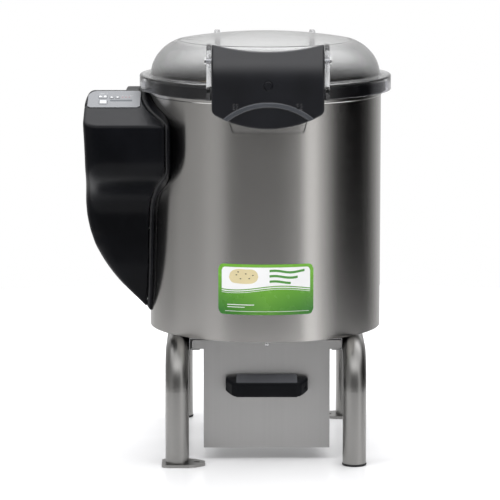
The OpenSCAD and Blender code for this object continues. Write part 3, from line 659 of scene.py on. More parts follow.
LOOKS = {
    "drum": ("outer_drum",),
    "rim": ("drum_rim",),
    "sheet": ("base_plate", "chamber_floor", "drain_duct", "left_rail", "right_rail", "motor_bracket", "chute_frame", "discharge_door", "drawer_box"),
    "front": ("drawer_front",),
    "basket": ("filter_basket",),
    "tube": ("left_leg", "right_leg", "floor_plates"),
    "bright": ("shaft_bearings", "leg_bolts", "hinge_pin", "latch_pins", "latch_spring", "main_shaft", "motor_rotor", "drawer_stud", "latch_magnet"),
    "abrasive": ("chamber_liner", "abrasive_plate"),
    "cast": ("bearing_housing", "motor_stator", "motor_shields", "driven_pulley", "motor_pulley"),
    "black": ("housing_cover", "hinge_bracket", "cable_gland", "cooling_fan", "door_knob", "drawer_handle"),
    "dark": ("housing_base", "drain_spigot"),
    "capm": ("latch_cap",),
    "latch": ("latch_cover",),
    "screw": ("housing_screws",),
    "rubber": ("shaft_seal", "rubber_feet", "housing_gasket", "drive_belt", "door_gasket"),
    "seal": ("lid_gasket",),
    "film": ("keypad_panel",),
    "key": ("key_start", "key_stop", "key_up", "key_down"),
    "led": ("status_leds",),
    "board": ("control_board",),
    "cap": ("run_capacitor",),
    "brass": ("water_inlet",),
    "clear": ("lid_dome",),
    "label": ("badge",),
}


def label_green():
    m = Mat("label_green", (0.10, 0.34, 0.06), 0.0, 0.28)
    o = m.xyz()
    up = m.remap(o[2], 0.262, 0.325, 0.0, 1.0)
    c = m.mix(up, (0.022, 0.150, 0.022), (0.160, 0.430, 0.040))
    glow = m.math("MULTIPLY", m.remap(m.math("ABSOLUTE", o[0]), 0.0, 0.085, 1.0, 0.0), 0.35)
    c = m.mix(glow, c, (0.26, 0.55, 0.07))
    n = m.noise(m.coord(), 60.0, 3.0)
    m.color(m.mix(m.math("MULTIPLY", n, 0.14), c, (0.05, 0.22, 0.03)))
    m.roughness(m.remap(m.noise(m.coord(), 25.0, 3.0), 0.3, 0.7, 0.22, 0.34))
    m.bump(m.noise(m.coord(), 500.0, 2.0), 0.04, 0.00003)
    return m


MAT["label"] = label_green()
MAT["key"] = printed("key_cap", (0.27, 0.277, 0.29), 0.40, spec=0.12)
MAT["capm"] = moulded("cap_plastic", (0.008, 0.0085, 0.011), 0.34, spec=0.35, tone=0.12)
# painted highlight: a lighter copy of the black plastic for the handle's upward-facing top, standing in for light from
# above
MAT["grip"] = moulded("handle_top_painted_highlight", (0.062, 0.064, 0.072), 0.42, spec=0.3, tone=0.12)
# painted highlight: a lighter copy of the latch plastic for the arch rib, standing in for the light the raised bead
# catches
MAT["rib"] = moulded("rib_painted_highlight", (0.050, 0.054, 0.063), 0.40, spec=0.8, tone=0.15)
MAT["potato"] = printed("print_cream", (0.72, 0.62, 0.36), 0.36)
MAT["print_green"] = printed("print_green", (0.085, 0.30, 0.055), 0.34)

for _key, _names in LOOKS.items():
    for _n in _names:
        assign(NODES[_n], _key)


# ---------------------------------------------------------------- side housing

SLOPE = math.atan2(45.4, 135.0)
CA, SA = math.cos(SLOPE), math.sin(SLOPE)
PAD = (-259.5, -46.0, 571.6 + 102.0 * math.tan(SLOPE))

YF, YFd = soft_curve([(235, -33), (255, -40), (280, -47), (320, -53), (370, -57), (412, -61), (432, -67), (445, -78), (455, -92), (463, -106), (475, -125),
                      (485, -136), (495, -143), (508, -148), (522, -150), (562, -150), (640, -150)], 5)
XL, XLd = soft_curve([(236, -199), (243.4, -206.6), (255.8, -218), (262.8, -225.5), (273.3, -236), (290.9, -252.8), (308.5, -267),
                      (326, -279), (352.3, -294), (378.5, -303), (405, -308.2), (431, -309.8), (455, -309), (480, -307), (515, -307),
                      (541, -308), (570, -309.6), (597, -310), (640, -309)], 5)
YR, YRd = soft_curve([(235, 43.5), (266, 66), (310, 88), (370, 104), (420, 110), (640, 110)], 12)
ZT, ZTd = soft_curve([(-90, 619.4), (-5, 618.5), (20, 612.2), (60, 605.5), (88, 599), (112, 590)], 5)


def polish_slope(m):
    """The sloped top of the housing is smoother than its sides."""
    o = m.xyz()
    w = m.math("MULTIPLY_ADD", o[2], CA, m.math("MULTIPLY", o[1], -SA))
    w0 = (PAD[2] * CA - PAD[1] * SA) * MM
    m.link(m.remap(w, w0 - 0.005, w0 - 0.001, 0.08, 0.16), m.b.inputs["Specular IOR Level"])


polish_slope(MAT["black"])


def uvw(x, y, z):
    dy, dz = y - PAD[1], z - PAD[2]
    return x - PAD[0], dy * CA + dz * SA, -dy * SA + dz * CA


def block(x, y, z):
    fl = (XL(z) - x) / np.sqrt(1 + XLd(z) ** 2)
    ff = (YF(z) - y) / np.sqrt(1 + YFd(z) ** 2)
    fr = (y - YR(z)) / np.sqrt(1 + YRd(z) ** 2)
    fs = (z - 571.6) * CA - (y + 148) * SA
    ft = (z - ZT(y)) / np.sqrt(1 + ZTd(y) ** 2)
    fc = -0.80 * (x + 304.6) + 0.60 * (z - 612.6)
    f = smax(fl, ff, 4 + 24 * np.clip((z - 240) / 130, 0, 1))
    f = smax(f, fr, 26)
    top = smax(fs, ft, 3)
    f = smax(f, top, 6)
    f = smax(f, fc, 6)
    f = smax(f, x + 162, 20)
    return smax(f, 236 - z, 1.5)


def seam(x, y, z, r, xs):
    """Negative on the drum's side of the seam, which is narrow below and wide above."""
    e = r - 8.5 * (1 - np.clip((z - 448) / 26, 0, 1))
    return np.minimum(np.hypot(x, y) - e, np.maximum(xs - x, y + 100))


def poly_dist(u, v, pts):
    """Signed distance to a convex polygon given anticlockwise."""
    f = np.full(u.shape, -1e9)
    for i, p in enumerate(pts):
        q = pts[(i + 1) % len(pts)]
        ex, ey = q[0] - p[0], q[1] - p[1]
        l = math.hypot(ex, ey)
        f = np.maximum(f, (ey * (u - p[0]) - ex * (v - p[1])) / l)
    return f


PAD_PTS = [(-40, -34), (40, -34), (45, -29), (45, 30), (41, 34), (-31, 34), (-38, 30), (-42, 24), (-45, 16), (-45, -29)]


def box_dist(u, v, w, lo, hi):
    return np.maximum.reduce([lo[0] - u, u - hi[0], lo[1] - v, v - hi[1], lo[2] - w, w - hi[2]])


def cover_field(x, y, z):
    f = block(x, y, z)
    r = np.hypot(x, y)
    bit = np.maximum.reduce([-243 - x, x + 215, -6 - y, y - 92, z - 617.8, 610 - 0.204 * (y + 6) - z, (z - 615.2) - 0.75 * (y + 6), (z - 617.8) + 0.278 * (y - 64),
                             0.581 * (z - 613) + 0.814 * (y - 82), 0.50 * (z - 616.2) - 0.866 * (x + 240.6)])
    bit = np.maximum(bit, 219 - r)
    g = smax(f, -seam(x, y, z, 216, -170), 4)
    g = smin(g, bit, 1.5)
    g = np.maximum(g, -(f + 3.5))
    u, v, w = uvw(x, y, z)
    pad = poly_dist(u, v, PAD_PTS)
    g = np.maximum(g, -np.maximum(pad, -1.5 - w))
    g = np.maximum(g, -box_dist(u - 2, v + 3, w, (-35, -25, -12), (35, 25, 9)))
    # small hollow at the keypad's left end
    g = smax(g, -(np.sqrt((u + 50.5) ** 2 + ((v + 20) / 1.5) ** 2 + (w - 0.5) ** 2) - 4.6), 2.0)
    for sx, sz in ((-292, 560), (-292, 440), (-215, 560)):
        g = np.maximum(g, 2.2 - np.hypot(x - sx, z - sz) - 50.0 * (y < 60))
    g = np.maximum(g, 8.2 - np.hypot(x + 225, z - 450) - 50.0 * (y < 60))
    return g


def base_field(x, y, z):
    f = block(x, y, z)
    r = np.hypot(x, y)
    g = f + np.clip(seam(x, y, z, 213.2, -167.2) / 0.8, 0, 1) * 1.1
    g = np.maximum(g, seam(x, y, z, 215.9, -169.9))
    g = np.maximum(g, 200.0 - r)
    g = np.maximum(g, np.minimum(202.2 - r, z - 611.7))
    return np.maximum(g, -(f + 3.6))


H1, H2 = ((2.0, 1.3))
cover = net_piece("side_cover", cover_field, (-316, -156, 232), (-140, 116, 624), H1, "black", "base", ("housing_cover",))
base_ring = net_piece("side_base", base_field, (-217, -156, 232), (-138, 116, 622), H2, "dark", "base", ("housing_base", "housing_gasket"))
base_ring.data.materials.append(MAT["rubber"].m)
for _p in base_ring.data.polygons:
    _c = _p.center
    if seam(_c.x * 1000, _c.y * 1000, _c.z * 1000, 213.35, -167.35) > 0:
        _p.material_index = 1


# ---------------------------------------------------------------- keypad prints

def on_pad(u, v, w):
    return frame_matrix((PAD[0] + u, PAD[1] + v * CA - w * SA, PAD[2] + v * SA + w * CA), (1, 0, 0), (0, CA, SA), (0, -SA, CA))


def bar_outline(w, h, r=0.6):
    return rounded_rect(w, h, min(r, w / 2.02, h / 2.02), 3)


def triangle(s):
    return [(-s, -s * 0.6), (s, -s * 0.6), (0, s * 0.95)]


def ring_mesh(ro, ri, h, segs=40):
    return lathe([(ro, 0), (ro, h), (ri, h), (ri, 0)], segs, closed=True)


KEY_TOP = 1.42
# start: triangle and bar; stop: square; up and down: triangles
piece("start_mark", *join(prism([(-2.4, -3.2), (2.8, 0), (-2.4, 3.2)], 0.14, 0, on_pad(-23.2, 9, KEY_TOP)), prism(bar_outline(3.4, 5.6), 0.14, 0, on_pad(-15.6, 9, KEY_TOP))),
      "ink_white", "start_key", slot="key_green", smooth=False)
piece("stop_mark", *prism(bar_outline(11.0, 12.5, 1.0), 0.14, 0, on_pad(-18.5, -13, KEY_TOP)), "ink_pale", "stop_key", slot="key_red", smooth=False)
piece("up_mark", *prism(triangle(2.3), 0.14, 0, on_pad(-4.5, 6, KEY_TOP)), "ink_white", "up_key", slot="key_light", smooth=False)
piece("down_mark", *prism([(-x, -y) for x, y in triangle(2.3)], 0.14, 0, on_pad(5.5, 6, KEY_TOP)), "ink_white", "down_key", slot="key_light", smooth=False)
piece("pad_display", *prism(bar_outline(38, 6.4, 1.2), 0.16, 0.05, on_pad(12, -6.5, 0.8)), "ink_dark", "base", slot="keypad_film", smooth=False)
_ticks = [prism(bar_outline(9, 0.8), 0.12, 0, on_pad(-22, 20.5, 0.8)), prism(bar_outline(12, 0.6), 0.12, 0, on_pad(-18, 23.5, 0.8))]
_ticks += [prism(bar_outline(5.6, 0.5), 0.12, 0, on_pad(13 + 8 * i, 13.5, 0.8)) for i in range(3)]
piece("pad_ticks", *join(*_ticks), "ink_pale", "base", slot="keypad_film", smooth=False)


# ---------------------------------------------------------------- latch cover

LX, LZ = 3.0, 687.0
YB, YBd = soft_curve([(540, -225), (640, -225), (655, -224), (680, -206.5), (700, -203), (720, -203)], 2)


def latch_outline(X, Z, d):
    bot = np.hypot(X, Z - 155.5) - (180 - d)
    side = np.abs(X) - (93.5 - d)
    f = np.maximum(bot, side)
    # shoulder
    ax, az = np.abs(X) - 79.5, Z - 9.4
    ang = np.degrees(np.arctan2(az, ax))
    f = np.where((ang > -61.44) & (ang < 0), np.hypot(ax, az) - (14 - d), f)
    top = (355 + d) - np.hypot(X, Z - 457)
    return smax(f, top, 3)


def latch_field(x, y, z):
    X, Z = x - LX, z - 600
    front = -238 - y
    slope = -0.828 * (y + 235.8) + 0.562 * (z - 671.5)
    fr = smax(front, slope, 16)
    out = latch_outline(X, Z, 0)
    back = (y - YB(z)) / np.sqrt(1 + YBd(z) ** 2)
    f = smax(smax(out, fr, 3.2), back, 1.2)
    f = smax(f, z - 715.8, 1.5)
    cav = np.maximum(smax(latch_outline(X, Z, 4), fr + 4, 4), 0 * x - 1)
    cav = np.maximum(cav, z - 708)
    f = np.maximum(f, -cav)
    room = np.maximum.reduce([np.abs(X) - 58, -234 - y, y + 204, z - 590])
    f = np.maximum(f, -room)
    axis = np.hypot(y + 215, z - LZ)
    boss = np.maximum(axis - 8, np.maximum(77.5 - np.abs(X), np.abs(X) - 93.5))
    f = smin(f, boss, 1.0)
    f = np.maximum(f, 4.1 - axis - 50.0 * (np.abs(X) < 66))
    f = np.maximum(f, -np.maximum(axis - 6.5, np.abs(X - 70.5) - 6))
    # arch rib, the hollow below it, and small marks
    d = np.hypot(x - 4, z - 503)
    hollow = np.maximum.reduce([d - 109.4, 577.5 - z, out + 2.5, -y - 240, y + 237.2])
    f = smax(f, -hollow, 0.8)
    rib = np.maximum(np.maximum(np.abs(d - 113.5) - 3.5, -240 - y), np.maximum(y + 235, out + 0.4))
    f = smin(f, rib, 1.1)
    marks = [(cx + i * 2.9, 613.4 + j * 2.9, 1.7, 1.7) for cx in (-50.5, 55.5) for i in (-1, 1) for j in (-1, 1)] + [(-51, 588.6, 4.2, 0.9), (56, 588.6, 4.2, 0.9)]
    for mx, mz, w, h in marks:
        f = np.maximum(f, -np.maximum.reduce([np.abs(x - mx) - w, np.abs(z - mz) - h, np.abs(y + 238) - 1.0]))
    f = smax(f, -(np.sqrt((x - 24) ** 2 + (z - 651) ** 2 + (y + 239.2) ** 2) - 2.3), 0.6)
    f = np.maximum(f, -np.maximum(np.hypot(x - 3, z - 648) - 7.6, np.abs(y + 238) - 1.6))
    return f


H3 = 1.1
latch = net_piece("latch_shell", latch_field, (-93, -243, 573), (99, -199, 719), H3, "latch", "latch", ("latch_cover",))
# the arch rib's front faces take the lighter copy, a painted highlight
latch.data.materials.append(MAT["rib"].m)
for _p in latch.data.polygons:
    _c = _p.center
    if _c.y < -0.2384 and abs(math.hypot(_c.x - 0.004, _c.z - 0.503) - 0.1135) < 0.0040:
        _p.material_index = 1


# ---------------------------------------------------------------- drawer handle

FX = 1.6


def handle_field(x, y, z):
    ax = np.abs(x - FX)

    def body(d, top):
        side = poly_dist(y, z, [(-161.5, 114.5), (-161.5, 149), (-165, 149), (-193, 140), (-195, 137), (-195, 116.5), (-193, 114.5)])
        side = np.maximum(side, z - top)
        plan = np.maximum.reduce([ax - 72.2, (ax - 70.2) * 0.824 - (y + 177) * 0.566, ax - 70.7 - 0.4 * (y + 177)])
        front = np.maximum.reduce([ax - 72.2, (ax - 72.2) * 0.55 - (z - 122) * 0.835, (ax - 72.2) * 0.92 + (z - 143) * 0.39])
        return smax(smax(side, plan, 4), front, 4) + d

    mid = smax(body(0, 200), ax - 52, 1.5)
    ends = body(1.3, 146.5)
    f = smin(mid, ends, 1.2)
    f = np.maximum(f, y + 161.5)
    grip = np.maximum.reduce([ax - 50, -190 - y, y + 166, z - 134])
    f = smax(f, -grip, 2.5)
    f = smax(f, -(np.sqrt((x - FX - 66.0) ** 2 + (z - 130) ** 2 + (y + 183.5) ** 2) - 2.6), 0.8)
    for s in (-1, 1):
        f = np.maximum(f, 2.6 - np.hypot(x - FX - 56 * s, z - 134) - 50.0 * (y < -172))
    return f


handle = net_piece("handle", handle_field, (-73, -197, 112), (76, -159, 151), 0.9, "black", "drawer", ("drawer_handle",))
# upward-facing faces on the middle of the handle's top take the lighter copy, a painted highlight
handle.data.materials.append(MAT["grip"].m)
for _p in handle.data.polygons:
    if _p.normal.z > 0.75 and abs(_p.center.x - FX * MM) < 0.0515 and _p.center.z > 0.1365:
        _p.material_index = 1
piece("handle_screws", *join(*[moved(screw_head(4.5, 2.0, 2.0, 1.2), frame_matrix((FX + 56 * s, -158.8, 134), (1, 0, 0), (0, 0, 1), (0, 1, 0)))
                               for s in (-1, 1)]), "bright", "drawer", slot="bright_steel", smooth=True, angle=40)


# ---------------------------------------------------------------- rear hinge bracket, knob, feet

def bracket_field(x, y, z):
    ax = np.abs(x)
    r = np.hypot(x, y)
    body = np.maximum.reduce([ax - 76, z - 612, 562 - z, (y - 228) * 0.927 - (z - 560) * 0.375])
    body = smax(body, 200.05 - r, 1.5)
    body = smax(body, z - 612, 5)
    body = smax(body, ax - 76, 5)
    cheek = np.minimum(poly_dist(y, z, [(206, 562), (220, 562), (238, 600), (240.1, 612), (206, 612)]),
                       poly_dist(y, z, [(219.5, 604), (238.7, 604), (245, 640), (245, 652), (241, 659), (235, 662), (228, 661.6), (222, 658), (219.5, 650)]))
    cheek = smax(cheek, np.abs(ax - 70) - 6, 3)
    f = smin(body, cheek, 2)
    f = np.maximum(f, 4.0 - np.hypot(y - 232, z - 650))
    for i in (-50, 50):
        f = np.maximum(f, 3.0 - np.hypot(x - i, z - 580))
        f = np.maximum(f, -np.maximum(np.hypot(x - i, z - 580) - 7.5, 224 - y))
    return f


net_piece("rear_bracket", bracket_field, (-78, 184, 560), (78, 248, 664), 1.5, "black", "base", ("hinge_bracket",))
piece("bracket_screws", *join(*[moved(screw_head(5.5, 3.2, 2.5, 1.8), frame_matrix((i, 224.0, 580), (1, 0, 0), (0, 0, -1), (0, 1, 0))) for i in (-50, 50)]),
      "bright", "base", slot="bright_steel", smooth=True, angle=40)

DOOR = Matrix.Rotation(math.radians(58), 4, "Z")
_knob = [(0, 31.0)] + [(p[0], p[1]) for p in spline([(4, 31.0), (10, 30.6), (14, 29.6), (16.4, 27.4), (17.2, 24.2), (16.9, 20.6), (14.6, 16.6), (11.4, 12.4), (9.4, 9.2), (9.7, 7.4)], 5)] + [(9.7, 7.0), (0, 7.0)]
piece("knob", *moved(lathe(_knob, 64, closed=False), DOOR @ Matrix.Translation(Vector((232, -56, 486)) * MM) @ Matrix.Rotation(math.radians(90), 4, "Y")),
      "black", "door", ("door_knob",), "black_plastic", angle=50)

_foot = [(0, 0.0), (18.6, 0.0), (19.8, 0.3), (20.6, 1.0), (20.8, 1.9), (20.7, 3.2), (20.3, 3.9), (19.6, 4.0), (18.42, 4.0), (18.4, 17.0), (17.6, 18.0), (0, 18.0)]
piece("feet", *join(*[moved(lathe(_foot, 64, closed=False), Matrix.Translation(Vector((sx * 150, sy * 202, 0)) * MM)) for sx, sy in ((1, -1), (-1, 1))]),
      "rubber", "base", ("rubber_feet",), "black_rubber", angle=50)


# ---------------------------------------------------------------- clear lid

def crown(r):
    return 718 - (870.5 - math.sqrt(870.5 ** 2 - r * r))


_out = [(r, crown(r)) for r in [0, 6, 14, 24, 36, 50, 64, 78, 92, 106, 120, 132, 141, 146, 148.7]]
_out += [(149.1, crown(149.1) - 0.35), (149.9, crown(149.9) - 0.4), (150.4, crown(150.4) - 0.15)]
_out += [(p[0], p[1]) for p in spline([(151.5, 704.6), (156, 703.0), (162, 700.1), (170, 695.3), (178.6, 688.0), (186.2, 679.3), (191.7, 670.4), (195.2, 661.6),
                                      (197.0, 653.6), (197.9, 649.6), (199.6, 647.2), (202.4, 646.1)], 4)]
_out += [(206, 646), (211, 646), (214.6, 646), (216.0, 645.7), (216.8, 644.9), (217, 643.8), (217, 632), (217, 621.3), (216.4, 620.6), (0, 620.55)]
_in = [(r, crown(r) - 3.5) for r in [0, 14, 30, 50, 70, 90, 110, 128, 142]]
_in += [(p[0], p[1]) for p in spline([(150, 701.5), (154.5, 699.9), (160.3, 697.0), (168.4, 692.2), (176.6, 685.3), (183.8, 677.0), (188.9, 668.4), (192.0, 660.2),
                                     (193.5, 653.0), (194.3, 648.6), (196.2, 644.8), (199.6, 642.6)], 4)]
_in += [(206, 642.5), (213.5, 642.5), (213.5, 630), (213.5, 612), (0, 612)]

SEG = 208
lid = solid(lathe(_out, SEG, closed=False), "lid")
AX = ((0, 1, 0), (0, 0, 1), (1, 0, 0))
FRONT_WING = [(-120, 690), (-128, 703), (-150, 710), (-185, 713.5), (-212, 713), (-225, 709), (-233, 701), (-236.5, 690), (-237, 660), (-234, 640), (-228, 626), (-222, 621.6), (-190, 621.2), (-160, 640)]
REAR_WING = [(110, 690), (120, 704), (150, 708.5), (190, 706), (212, 700), (228, 688), (240, 668), (244, 656), (244.5, 648), (242, 641), (236, 636.5), (229, 636.2), (222, 640), (212, 644), (190, 640), (160, 650)]
for s in (-1, 1):
    boolean(lid, solid(prism([(p[0], p[1]) for p in closed_spline(FRONT_WING, 3)], 8, 1.0, frame_matrix((3 + s * 98.2 - 4, 0, 0), *AX), 2)), "UNION")
    boolean(lid, solid(prism([(p[0], p[1]) for p in closed_spline(REAR_WING, 3)], 9.4, 1.0, frame_matrix((s * 84.5 - 4.7, 0, 0), *AX), 2)), "UNION")
boolean(lid, solid(lathe(_in, SEG, closed=False)), "DIFFERENCE")

# land and lip in front
LIP = [(-70.5, 634), (-69, 600), (-66, 579), (-62.3, 566.5), (-61, 564.8), (-58.5, 564), (58.5, 564), (61, 564.8), (62.3, 566.5), (66, 579), (69, 600), (70.5, 634)]
lip = solid(lathe([(206.6, 563.0), (206.6, 634), (203, 634), (203, 563.0)], SEG, closed=True), "lip")
boolean(lip, solid(prism([(-p[0], p[1]) for p in LIP], 120, 0, frame_matrix((4, -150, 0), (-1, 0, 0), (0, 0, 1), (0, -1, 0)))), "INTERSECT")
land = solid(lathe([(214.5, 620.6), (214.5, 643.2), (204.8, 643.2), (204.8, 634), (206.55, 634), (206.55, 620.6)], SEG, closed=True), "land")
boolean(land, solid(prism([(-72, 600), (72, 600), (72, 660), (-72, 660)], 120, 0, frame_matrix((4, -150, 0), (1, 0, 0), (0, 0, 1), (0, -1, 0)))), "INTERSECT")
boolean(lid, land, "UNION")
for s in (-1, 1):
    boolean(lid, solid(moved(cylinder(4.0, 14, 40), frame_matrix((3 + s * 98.2 - 7, -215, 687), (0, 1, 0), (0, 0, 1), (1, 0, 0)))), "DIFFERENCE")
    boolean(lid, solid(moved(cylinder(4.05, 14, 40), frame_matrix((s * 84.5 - 7, 232, 650), (0, 1, 0), (0, 0, 1), (1, 0, 0)))), "DIFFERENCE")
for _o, _nm in ((lid, "lid_shell"), (lip, "lid_lip")):
    _o.name = _nm
    _o.data.name = _nm
    _o.data.polygons.foreach_set("use_smooth", [True] * len(_o.data.polygons))
    _o.data.set_sharp_from_angle(angle=math.radians(32))
    assign(_o, "clear")
    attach(_o, "lid")
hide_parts("lid_dome")


# ---------------------------------------------------------------- label plate: plain generic print

RB = 200.0


def on_drum(u, v, r):
    a = u / RB
    return (r * math.sin(a) * MM, -r * math.cos(a) * MM, v * MM)


def band(u0, u1, lo, hi, r0, r1, n=40):
    """A thin plate on the drum between the curves lo(u) and hi(u)."""
    V, F = [], []
    for i in range(n + 1):
        u = u0 + (u1 - u0) * i / n
        a, b = lo(u), hi(u)
        V += [on_drum(u, a, r0), on_drum(u, b, r0), on_drum(u, b, r1), on_drum(u, a, r1)]
    for i in range(n):
        k, m = 4 * i, 4 * i + 4
        for j in range(4):
            F.append([k + j, k + (j + 1) % 4, m + (j + 1) % 4, m + j])
    F += [[0, 1, 2, 3], [4 * n + 3, 4 * n + 2, 4 * n + 1, 4 * n]]
    return V, F


def blob(pts, r0, r1, step=2.5):
    """A thin plate on the drum with a convex outline."""
    us = [p[0] for p in pts]
    u0, u1 = min(us) + 0.02, max(us) - 0.02
    n = max(6, int((u1 - u0) / step))

    def cut(u, pick):
        vs = []
        for i, p in enumerate(pts):
            q = pts[(i + 1) % len(pts)]
            if (p[0] - u) * (q[0] - u) <= 0 and abs(p[0] - q[0]) > 1e-9:
                vs.append(p[1] + (q[1] - p[1]) * (u - p[0]) / (q[0] - p[0]))
        return pick(vs)

    return band(u0, u1, lambda u: cut(u, min) - 1e-4, lambda u: cut(u, max) + 1e-4, r0, r1, n)


def at(pts, du, dv):
    return [(p[0] + du, p[1] + dv) for p in pts]


ZB = 301.0
plate_pts = at(rounded_rect(164.6, 86, 9, 8), 0, ZB - 1)
piece("label_plate", *blob(plate_pts, 200.02, 200.6, 3.0), "label", "base", ("badge",), "label", smooth=True, angle=30)
pale = at(rounded_rect(152, 40, 6, 6), 0, ZB + 16)


def wave(u):
    return ZB + 2.5 + 3.6 * math.sin(u / 26.0 + 0.6)


def pale_top(u):
    e = 76 - abs(u)
    return ZB + 37 - (6 - math.sqrt(max(0.0, 36 - (6 - min(e, 6)) ** 2)))


piece("label_panel", *band(-76, 76, wave, pale_top, 200.55, 200.72, 76), "ink_white", "base", slot="label", smooth=True, angle=30)
piece("label_lines", *join(band(-76, 76, lambda u: wave(u) - 3.4, lambda u: wave(u) - 1.9, 200.55, 200.70, 76),
                           band(-76, 76, lambda u: wave(u) - 6.2, lambda u: wave(u) - 5.5, 200.55, 200.70, 76),
                           band(-66, -20, lambda u: ZB - 27.6, lambda u: ZB - 26.4, 200.55, 200.70, 12),
                           band(-66, -36, lambda u: ZB - 31.6, lambda u: ZB - 30.6, 200.55, 200.70, 8)), "ink_white", "base", slot="label", smooth=True, angle=30)
_pot = [(p[0], p[1]) for p in closed_spline([(-25, -2), (-21, 8), (-10, 12.5), (4, 12), (17, 11.5), (24, 5), (24.5, -4), (17, -11), (4, -12.5), (-10, -12), (-20, -10)], 5)]
piece("label_potato", *blob(at(_pot, -38, ZB + 21.5), 200.70, 200.80, 1.5), "potato", "base", slot="label", smooth=True, angle=30)
_dots = [(-50, 24), (-43, 17.5), (-34, 26), (-28, 18), (-22, 23.5), (-47, 29)]
piece("label_dots", *join(*[blob(at(rounded_rect(3.0, 1.7, 0.8, 4), u, ZB + v), 200.78, 200.86, 0.6) for u, v in _dots]), "abrasive", "base", slot="label", smooth=False)
piece("label_stripes", *join(*[band(6, 66 - 12 * i, lambda u, i=i: ZB + 28 - 9 * i + 1.6 * math.sin(u / 9.0), lambda u, i=i: ZB + 32 - 9 * i + 1.6 * math.sin(u / 9.0), 200.70, 200.80, 40)
                               for i in range(3)]), "print_green", "base", slot="label", smooth=True, angle=30)
_frame = [band(-70, 74, lambda u: ZB - 38.4, lambda u: ZB - 37.8, 200.55, 200.68, 60)]
piece("label_rule", *join(*_frame), "ink_white", "base", slot="label", smooth=True, angle=30)

# drum weld seam at the back right
_a = math.radians(118)
_seam = [(-1.6, 0), (-1.1, 0.22), (0, 0.32), (1.1, 0.22), (1.6, 0)]
_V, _F = [], []
for _k, _z in enumerate(np.linspace(212, 611, 120)):
    for _s, _h in _seam:
        _rr = 199.95 + _h * (1 + 0.25 * math.sin(_k * 2.3))
        _aa = math.radians(150) + _s / 200
        _V.append((_rr * math.cos(_aa) * MM, _rr * math.sin(_aa) * MM, _z * MM))
for _k in range(119):
    for _j in range(4):
        _F.append([5 * _k + _j, 5 * _k + _j + 1, 5 * _k + _j + 6, 5 * _k + _j + 5])
    _F.append([5 * _k + 4, 5 * _k, 5 * _k + 5, 5 * _k + 9])
_F += [[0, 1, 2, 3, 4], [5 * 119 + j for j in (4, 3, 2, 1, 0)]]
piece("drum_seam", _V, _F, "rim", "base", slot="drum_steel", smooth=True)


# ---------------------------------------------------------------- floor, light, world

def floor(name, r0, r1, glossy):
    """A pale disc (r0 0) or ring on the ground."""
    n = 128
    c = [(math.cos(2 * math.pi * i / n), math.sin(2 * math.pi * i / n)) for i in range(n)]
    V = [(r1 * x, r1 * y, 0) for x, y in c]
    if r0:
        V += [(r0 * x, r0 * y, 0) for x, y in c]
        F = [(i, (i + 1) % n, n + (i + 1) % n, n + i) for i in range(n)]
    else:
        F = [tuple(range(n))]
    me = bpy.data.meshes.new(name)
    me.from_pydata(V, [], F)
    me.update()
    o = bpy.data.objects.new(name, me)
    SCENE.collection.objects.link(o)
    m = Mat(name + "_pale", (0.90, 0.90, 0.91), 0.0, 0.5, 0.3)
    n = m.noise(m.coord(), 3.0, 3.0)
    m.color(m.mix(n, (0.905, 0.905, 0.915), (0.93, 0.93, 0.935)))
    m.roughness(m.remap(n, 0.3, 0.7, 0.20, 0.26))
    # the ground glows more towards its rim so it fades to the white behind it; it also glows under and behind the
    # machine, painted light that lifts the shadow there
    q = m.xyz()
    rho = m.math("SQRT", m.math("ADD", m.math("MULTIPLY", q[0], q[0]), m.math("MULTIPLY", q[1], q[1])))
    m.set("Emission Color", (1, 1, 1, 1))
    m.link(m.math("MAXIMUM", m.remap(rho, 0.55, 1.3, 0.0, 0.5), m.remap(q[1], -0.20, 0.02, 0.0, 0.22)), m.b.inputs["Emission Strength"])
    me.materials.append(m.m)
    o.visible_glossy = glossy


FLOOR_R = 0.87
floor("floor", 0.0, FLOOR_R, True)
floor("floor_far", FLOOR_R, 1.7, False)


def area(name, loc, target, size, energy, size_y=None, glossy=True, color=(1, 1, 1)):
    d = bpy.data.lights.new(name, "AREA")
    d.shape = "RECTANGLE"
    d.size = size
    d.size_y = size_y or size
    d.energy = energy
    d.color = color
    o = bpy.data.objects.new(name, d)
    o.location = loc
    o.rotation_euler = (Vector(target) - Vector(loc)).to_track_quat("-Z", "Y").to_euler()
    o.visible_glossy = glossy
    o.visible_transmission = False
    SCENE.collection.objects.link(o)
    return o


area("overhead", (0.0, -0.5, 2.9), (0, 0, 0.3), 2.6, 60, glossy=False)
area("left_soft", (-2.2, -1.8, 1.8), (0, 0, 0.4), 1.4, 12, glossy=False)

RAMP = [(-180, .62), (-166, .60), (-150, .46), (-131, .36), (-109, .26), (-93, .34), (-80, .33), (-68, .36), (-56, .44), (-46, .40), (-35, .18), (-25, .14), (4, .14), (14, .15),
        (24, .21), (34, .30), (43, .88), (50, .88), (55, .62), (66, .28), (76, .05), (90, .0), (108, .0), (124, .06), (137, .26), (150, .44), (166, .60), (180, .62)]


